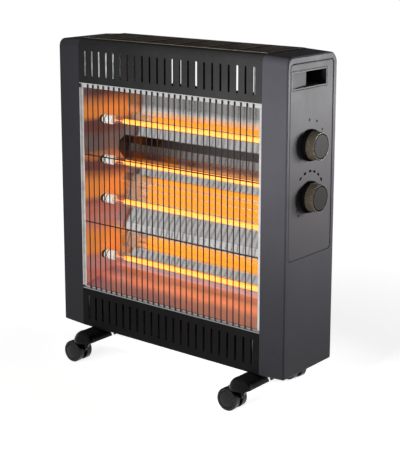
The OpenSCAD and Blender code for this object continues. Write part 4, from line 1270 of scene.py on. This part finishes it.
@dataclass
class Knob(SubAssembly):
    """A fluted control knob: a skirt, a grip and a sunk ring round the face, hollow below. The sunk ring is
    painted black as shade and the skirt black as the knob's shadow on the panel.

    A step of the turning gives, in millimetres, its height, or its drop from the top, and how far it lies
    inside the skirt's or the grip's radius.
    """

    name: str = "selector"
    body: str = "selector"
    node: str = "selector_knob"
    skirt_r: float = 25.0 * MM
    grip_r: float = 22.5 * MM
    skirt_steps: Pairs = ((0.0, 2.2), (0.0, 0.5), (0.5, 0.0), (3.2, 0.0), (5.6, 0.9))
    grip_steps: Pairs = ((6.4, -0.1), (7.4, 0.0))
    top_steps: Pairs = ((2.2, 0.5), (1.0, 0.8), (0.1, 1.5), (0.1, 2.2), (1.3, 2.5), (1.3, 3.6), (0.0, 4.0),
                        (0.0, 9.0))
    flutes: int = 36
    flute_sides: int = 4
    flute_span: tuple[float, float] = (7.0 * MM, 0.6 * MM)
    flute_reach: float = 1.2 * MM
    squeeze: float = 0.962
    facing: float = 0.9
    ring: tuple[float, float] = (4.1 * MM, 2.2 * MM)
    ring_drop: float = 2.0 * MM
    face_drop: float = 0.2 * MM
    skirt_h: float = 6.4 * MM
    skirt_reach: float = 2.0 * MM
    cavity: float = 4.3 * MM
    bore_r: float = 3.02 * MM
    roof: float = 3.2 * MM

    def build(self) -> None:
        """Turns the knob, presses its flutes and paints its face, ring and skirt."""
        seat = Seat.of(self.node)
        knob = self.turn(seat)
        self.press_flutes(knob, seat)
        settle(knob, f"{self.name}_knob_shell", smooth_deg=28)
        self.paint(knob, seat)
        self.add(knob, self.body, "knob_plastic", stands_for=[self.node])

    def turn(self, seat: Seat) -> bpy.types.Object:
        """Turns the outside from the cavity's roof outwards, then sinks the shaft's bore.

        Args:
            seat: where the knob stands.

        Returns:
            The knob's body.
        """
        profile = [(self.cavity, self.bore_r)]
        profile += [(rise * MM, self.skirt_r - inset * MM) for rise, inset in self.skirt_steps]
        profile += [(rise * MM, self.grip_r - inset * MM) for rise, inset in self.grip_steps]
        profile += [(seat.tall - drop * MM, self.grip_r - inset * MM) for drop, inset in self.top_steps]
        knob = turned(profile, self.flutes * self.flute_sides, (seat.x, seat.y, seat.z), Axis.X)

        def roof_face(polygon: bpy.types.MeshPolygon) -> bool:
            """Picks the disc at the cavity's roof."""
            middle = polygon.center
            return abs(middle.x - seat.x - self.cavity) < NEAR and seat.reach(middle) < NEAR

        depth = seat.tall - self.roof - self.cavity
        with editing(knob, faces=roof_face):
            bpy.ops.mesh.extrude_region_move(TRANSFORM_OT_translate={"value": (depth, 0, 0)})
        return knob

    def press_flutes(self, knob: bpy.types.Object, seat: Seat) -> None:
        """Draws the first line of each flute of the grip inwards.

        Args:
            knob: the knob's body.
            seat: where it stands.
        """
        step = 2 * math.pi / (self.flutes * self.flute_sides)
        low, high = seat.x + self.flute_span[0], seat.x + seat.tall - self.flute_span[1]

        def groove(co: Vector) -> bool:
            """Picks a vertex at the bottom of a flute.

            Args:
                co: the vertex's place.

            Returns:
                Whether it is pressed in.
            """
            if not low < co.x < high or seat.reach(co) < self.grip_r - self.flute_reach:
                return False
            return round(math.atan2(co.z - seat.z, co.y - seat.y) / step) % self.flute_sides == 0

        with editing(knob, verts=groove):
            bpy.ops.transform.resize(value=(1.0, self.squeeze, self.squeeze))

    def paint(self, knob: bpy.types.Object, seat: Seat) -> None:
        """Gives the face its own finish, and paints the sunk ring black as shade and the skirt black as the
        knob's shadow.

        Args:
            knob: the knob's body.
            seat: where it stands.
        """
        for finish in ("knob_plastic", "knob_face", "ink_and_shade"):
            knob.data.materials.append(self.finishes.by_name[finish])
        top = seat.x + seat.tall
        inner, outer = (self.grip_r - inset for inset in self.ring)
        for polygon in knob.data.polygons:
            height, reach = polygon.center.x, seat.reach(polygon.center)
            if polygon.normal.x > self.facing and height > top - self.face_drop and reach < outer:
                polygon.material_index = 1
            # the sunk ring: painted shade in black ink
            elif inner < reach < outer and height > top - self.ring_drop:
                polygon.material_index = 2
            # the skirt: painted shadow of the knob in black ink
            elif height < seat.x + self.skirt_h and reach > self.grip_r - self.skirt_reach:
                polygon.material_index = 2


@dataclass
class DialMarks(SubAssembly):
    """Printed marks on the control panel round a knob."""

    name: str = "selector_marks"
    node: str = "selector_knob"
    radius: float = 39.5 * MM
    angles: tuple[float, ...] = (-3.0, 28.0, 59.0)
    size: tuple[float, float] = (3.6 * MM, 3.6 * MM)
    round_off: float = 1.7 * MM
    finish: str = "ink_and_shade"
    thick: float = 0.16 * MM
    lift: float = 0.8 * MM
    rise: float = 0.14 * MM

    def build(self) -> None:
        """Cuts one mark and copies it round the knob's axis."""
        seat = Seat.of(self.node)
        wide, tall = self.size
        x0 = seat.x - self.lift + self.rise - self.thick
        low_z, high_z = seat.z + self.radius - tall / 2, seat.z + self.radius + tall / 2
        mark = slab((x0, seat.y - wide / 2, low_z), (x0 + self.thick, seat.y + wide / 2, high_z))
        with editing(mark, edges=lambda a, b: abs(a.y - b.y) < NEAR and abs(a.z - b.z) < NEAR):
            bpy.ops.mesh.bevel(offset=self.round_off, segments=4, affect="EDGES")
        axis = Matrix.Translation((0, seat.y, seat.z))
        pieces = []
        for angle in self.angles:
            spin = axis @ Matrix.Rotation(-math.radians(angle), 4, "X") @ axis.inverted()
            pieces.append(copied(mark, spin))
        bpy.data.objects.remove(mark)
        self.add(settle(joined(pieces), self.name), "heater", "panel_plastic", self.finish)


@dataclass
class CrossScrews(SubAssembly):
    """Pan-head screws with a cross recess, one piece for each group; dome gives shares of the head's size."""

    head_r: float = 3.6 * MM
    head_h: float = 2.0 * MM
    shank_r: float = 1.9 * MM
    point_h: float = 1.2 * MM
    dome: Pairs = ((0.0, 1.0), (0.35, 0.98), (0.7, 0.82), (0.93, 0.55), (1.0, 0.25))
    sides: int = 20
    arm_half: tuple[float, float] = (2.0 * MM, 0.45 * MM)
    recess: float = 1.1 * MM

    def build(self) -> None:
        """Replaces each screw group by detailed screws at the same places."""
        for node, axis in (("cap_screws", Axis.Y), ("rear_panel_screws", Axis.Y), ("foot_screws", Axis.DOWN)):
            boxes = islands(frame["nodes"][node])
            index = 1 if axis is Axis.Y else 2
            master = self.screw(axis, boxes[0][1][index] - boxes[0][0][index] - self.head_h)
            pieces = []
            for low, high in boxes:
                place = (low + high) / 2
                place[index] = high[index] - self.head_h if axis is Axis.Y else low[index] + self.head_h
                pieces.append(copied(master, Matrix.Translation(place)))
            bpy.data.objects.remove(master)
            piece = settle(joined(pieces), f"{node}_cross_head", smooth_deg=30)
            self.add(piece, "heater", "black_screw", stands_for=[node])

    def screw(self, axis: Axis, length: float) -> bpy.types.Object:
        """Turns one screw and cuts its recess.

        Args:
            axis: direction out of the head.
            length: length of the shank.

        Returns:
            The screw, with its head's underside at the origin.
        """
        h = self.head_h
        profile = [(-length, self.shank_r / 2), (-length + self.point_h, self.shank_r), (0, self.shank_r)]
        profile += [(h * rise, self.head_r * share) for rise, share in self.dome]
        body = turned(profile, self.sides, (0, 0, 0), axis)
        out = Vector(axis.value)
        side = Vector((0, 0, 1)) if axis is Axis.Y else Vector((0, 1, 0))
        other = out.cross(side)
        long_half, short_half = self.arm_half
        arms = []
        for a, b in ((side, other), (other, side)):
            half = a * long_half + b * short_half
            corners = (half + out * (h + MM), -half + out * (h - self.recess))
            low, high = (tuple(pick(c[i] for c in corners) for i in range(3)) for pick in (min, max))
            arms.append(slab(low, high))
        for arm in arms:
            cut = body.modifiers.new("recess", "BOOLEAN")
            cut.operation = "DIFFERENCE"
            cut.object = arm
        apply_modifiers(body)
        for arm in arms:
            bpy.data.objects.remove(arm)
        return body


# ---- Studio ----

@dataclass(frozen=True)
class SoftLamp:
    """An area lamp aimed at a point; glints says whether polished metal shows the lamp itself."""

    name: str
    place: Point
    target: Point
    size: tuple[float, float]
    power: float
    spread: float = 180.0
    glints: bool = True

    def hang(self) -> None:
        """Adds the lamp to the scene."""
        data = bpy.data.lights.new(self.name, "AREA")
        data.shape = "RECTANGLE"
        data.size, data.size_y = self.size
        data.energy = self.power
        data.spread = math.radians(self.spread)
        lamp = bpy.data.objects.new(self.name, data)
        lamp.location = self.place
        lamp.visible_glossy = self.glints
        lamp.rotation_euler = (Vector(self.place) - Vector(self.target)).to_track_quat("Z", "Y").to_euler()
        bpy.context.scene.collection.objects.link(lamp)


@dataclass
class Studio:
    """Pale floor, soft lamps, white surroundings and the camera at the photograph's angle.

    The floor's own light rises from the first share of floor_glow to the second over floor_fade, in
    millimetres from the middle.
    """

    eye: Point = (1.2344, -1.5159, 0.7673)
    azimuth: float = 38.97
    elevation: float = 11.60
    roll: float = 0.04
    focal_px: float = 1196.4
    centre_px: tuple[float, float] = (200.0, 165.0)
    frame_px: tuple[int, int] = (400, 452)
    sensor: float = 36.0
    floor_size: float = 60.0
    floor_drop: float = 0.2 * MM
    floor_tones: tuple[Colour, Colour] = ((0.30, 0.30, 0.30), (0.32, 0.32, 0.32))
    floor_bounce: Colour = (0.9, 0.9, 0.9)
    floor_glow: tuple[float, float] = (0.84, 1.0)
    floor_fade: tuple[float, float] = (350.0, 900.0)
    floor_cuts: int = 6
    sky: Colour = (0.97, 0.98, 1.0)
    sky_strength: float = 0.03
    lamps: tuple[SoftLamp, ...] = (
        SoftLamp("rear_right_key", (0.68, 0.52, 0.47), (0.23, 0.0, 0.50), (0.14, 0.14), 2.3, spread=100.0),
        SoftLamp("low_right", (0.80, 0.42, 0.40), (0.24, 0.0, 0.38), (0.10, 0.10), 0.7, spread=60.0),
        SoftLamp("front_right", (0.20, -0.45, 0.455), (0.215, -0.07, 0.45), (0.15, 0.10), 1.9, spread=130.0,
                 glints=False),
        SoftLamp("front_fill", (-0.5, -1.8, 0.56), (-0.1, 0.0, 0.3), (1.2, 0.9), 14.0, glints=False))

    def build(self) -> None:
        """Sets up everything that isn't part of the heater."""
        self.set_camera()
        self.set_floor()
        self.set_world()
        for lamp in self.lamps:
            lamp.hang()
        bpy.context.scene.view_settings.view_transform = "Standard"

    def set_camera(self) -> None:
        """Places the camera from its calibrated angles, focal length and picture centre."""
        data = bpy.data.cameras.new("camera")
        camera = bpy.data.objects.new("camera", data)
        bpy.context.scene.collection.objects.link(camera)
        az, el, roll = (math.radians(v) for v in (self.azimuth, self.elevation, self.roll))
        back = Vector((math.sin(az) * math.cos(el), -math.cos(az) * math.cos(el), math.sin(el)))
        right = Vector((math.cos(az), math.sin(az), 0.0))
        up = back.cross(right)
        turned_right = right * math.cos(roll) + up * math.sin(roll)
        turned_up = up * math.cos(roll) - right * math.sin(roll)
        place = Matrix((turned_right, turned_up, back)).transposed().to_4x4()
        place.translation = self.eye
        camera.matrix_world = place
        longest = max(self.frame_px)
        data.sensor_fit = "AUTO"
        data.sensor_width = self.sensor
        data.lens = self.focal_px * self.sensor / longest
        data.shift_x = (self.frame_px[0] / 2 - self.centre_px[0]) / longest
        data.shift_y = (self.centre_px[1] - self.frame_px[1] / 2) / longest
        data.clip_end = self.floor_size
        data.dof.use_dof = False
        bpy.context.scene.camera = camera

    def set_floor(self) -> None:
        """Lays a white floor that keeps the heater's shadow."""
        clear_selection()
        bpy.ops.mesh.primitive_plane_add(size=self.floor_size, location=(0, 0, -self.floor_drop))
        floor = bpy.context.object
        bpy.ops.object.transform_apply(location=True, rotation=True, scale=True)
        with editing(floor):
            bpy.ops.mesh.subdivide(number_cuts=self.floor_cuts)
        floor.name = "studio_floor"
        s = Shader("studio_floor")
        rays = s.node("ShaderNodeLightPath").outputs
        shown = s.maths("MAXIMUM", rays["Is Camera Ray"],
                        s.maths("MAXIMUM", rays["Is Glossy Ray"], rays["Is Transmission Ray"]))
        cloud = s.span(s.noise(s.millimetres(), 0.004, 3.0), 0.3, 0.7, 0.0, 1.0)
        s.set(Base_Color=s.blend(shown, s.blend(cloud, *self.floor_tones), self.floor_bounce),
              Roughness=0.9, Specular_IOR_Level=0.0)
        glow = s.node("ShaderNodeEmission")
        away = s.node("ShaderNodeVectorMath", operation="LENGTH")
        s.plug(away.inputs[0], s.millimetres())
        fade = s.span(away.outputs["Value"], *self.floor_fade, *self.floor_glow)
        s.plug(glow.inputs["Strength"], s.maths("MULTIPLY", shown, fade))
        total = s.node("ShaderNodeAddShader")
        s.plug(total.inputs[0], s.surface.outputs[0])
        s.plug(total.inputs[1], glow.outputs[0])
        s.plug(s.tree.nodes["Material Output"].inputs["Surface"], total.outputs[0])
        floor.data.materials.append(s.material)

    def set_world(self) -> None:
        """Lights everything softly and shows pure white behind the heater."""
        world = bpy.data.worlds.new("studio")
        bpy.context.scene.world = world
        world.use_nodes = True
        tree = world.node_tree
        soft = tree.nodes["Background"]
        soft.inputs["Color"].default_value = (*self.sky, 1.0)
        soft.inputs["Strength"].default_value = self.sky_strength
        white = tree.nodes.new("ShaderNodeBackground")
        white.inputs["Strength"].default_value = WHITE_STRENGTH
        rays = tree.nodes.new("ShaderNodeLightPath").outputs
        seen = rays["Is Camera Ray"]
        for name in ("Is Glossy Ray", "Is Transmission Ray"):
            either = tree.nodes.new("ShaderNodeMath")
            either.operation = "MAXIMUM"
            tree.links.new(seen, either.inputs[0])
            tree.links.new(rays[name], either.inputs[1])
            seen = either.outputs[0]
        mix = tree.nodes.new("ShaderNodeMixShader")
        for value, socket in zip((seen, soft.outputs[0], white.outputs[0]), mix.inputs):
            tree.links.new(value, socket)
        tree.links.new(mix.outputs[0], tree.nodes["World Output"].inputs[0])


def main() -> None:
    """Builds the studio and every sub-assembly in order."""
    logging.basicConfig(level=logging.INFO, format="%(name)s: %(message)s")
    Studio().build()
    finishes = Finishes()
    slots = {row["node"]: row["material_slot"] for row in frame["record"]["subparts"]}
    finishes.dress(frame["nodes"], slots)
    assemblies: list[SubAssembly] = [
        HeatingCoils(finishes),
        Knob(finishes),
        Knob(finishes, name="thermostat", body="thermostat_control", node="thermostat_knob"),
        DialMarks(finishes, finish="faded_ink"),
        DialMarks(finishes, name="thermostat_marks", node="thermostat_knob", radius=40.0 * MM,
                  angles=(-37.0, -17.5, 3.0, 20.0, 38.5, 56.5), size=(6.6 * MM, 3.6 * MM)),
        DialMarks(finishes, name="thermostat_end_marks", node="thermostat_knob", radius=38.0 * MM,
                  angles=(-132.0, -118.0), finish="faded_ink"),
        CrossScrews(finishes),
    ]
    for assembly in assemblies:
        assembly.build()
        log.info("%s: %s", type(assembly).__name__, ", ".join(assembly.made))
    clear_selection()


if __name__ == "__main__":
    main()
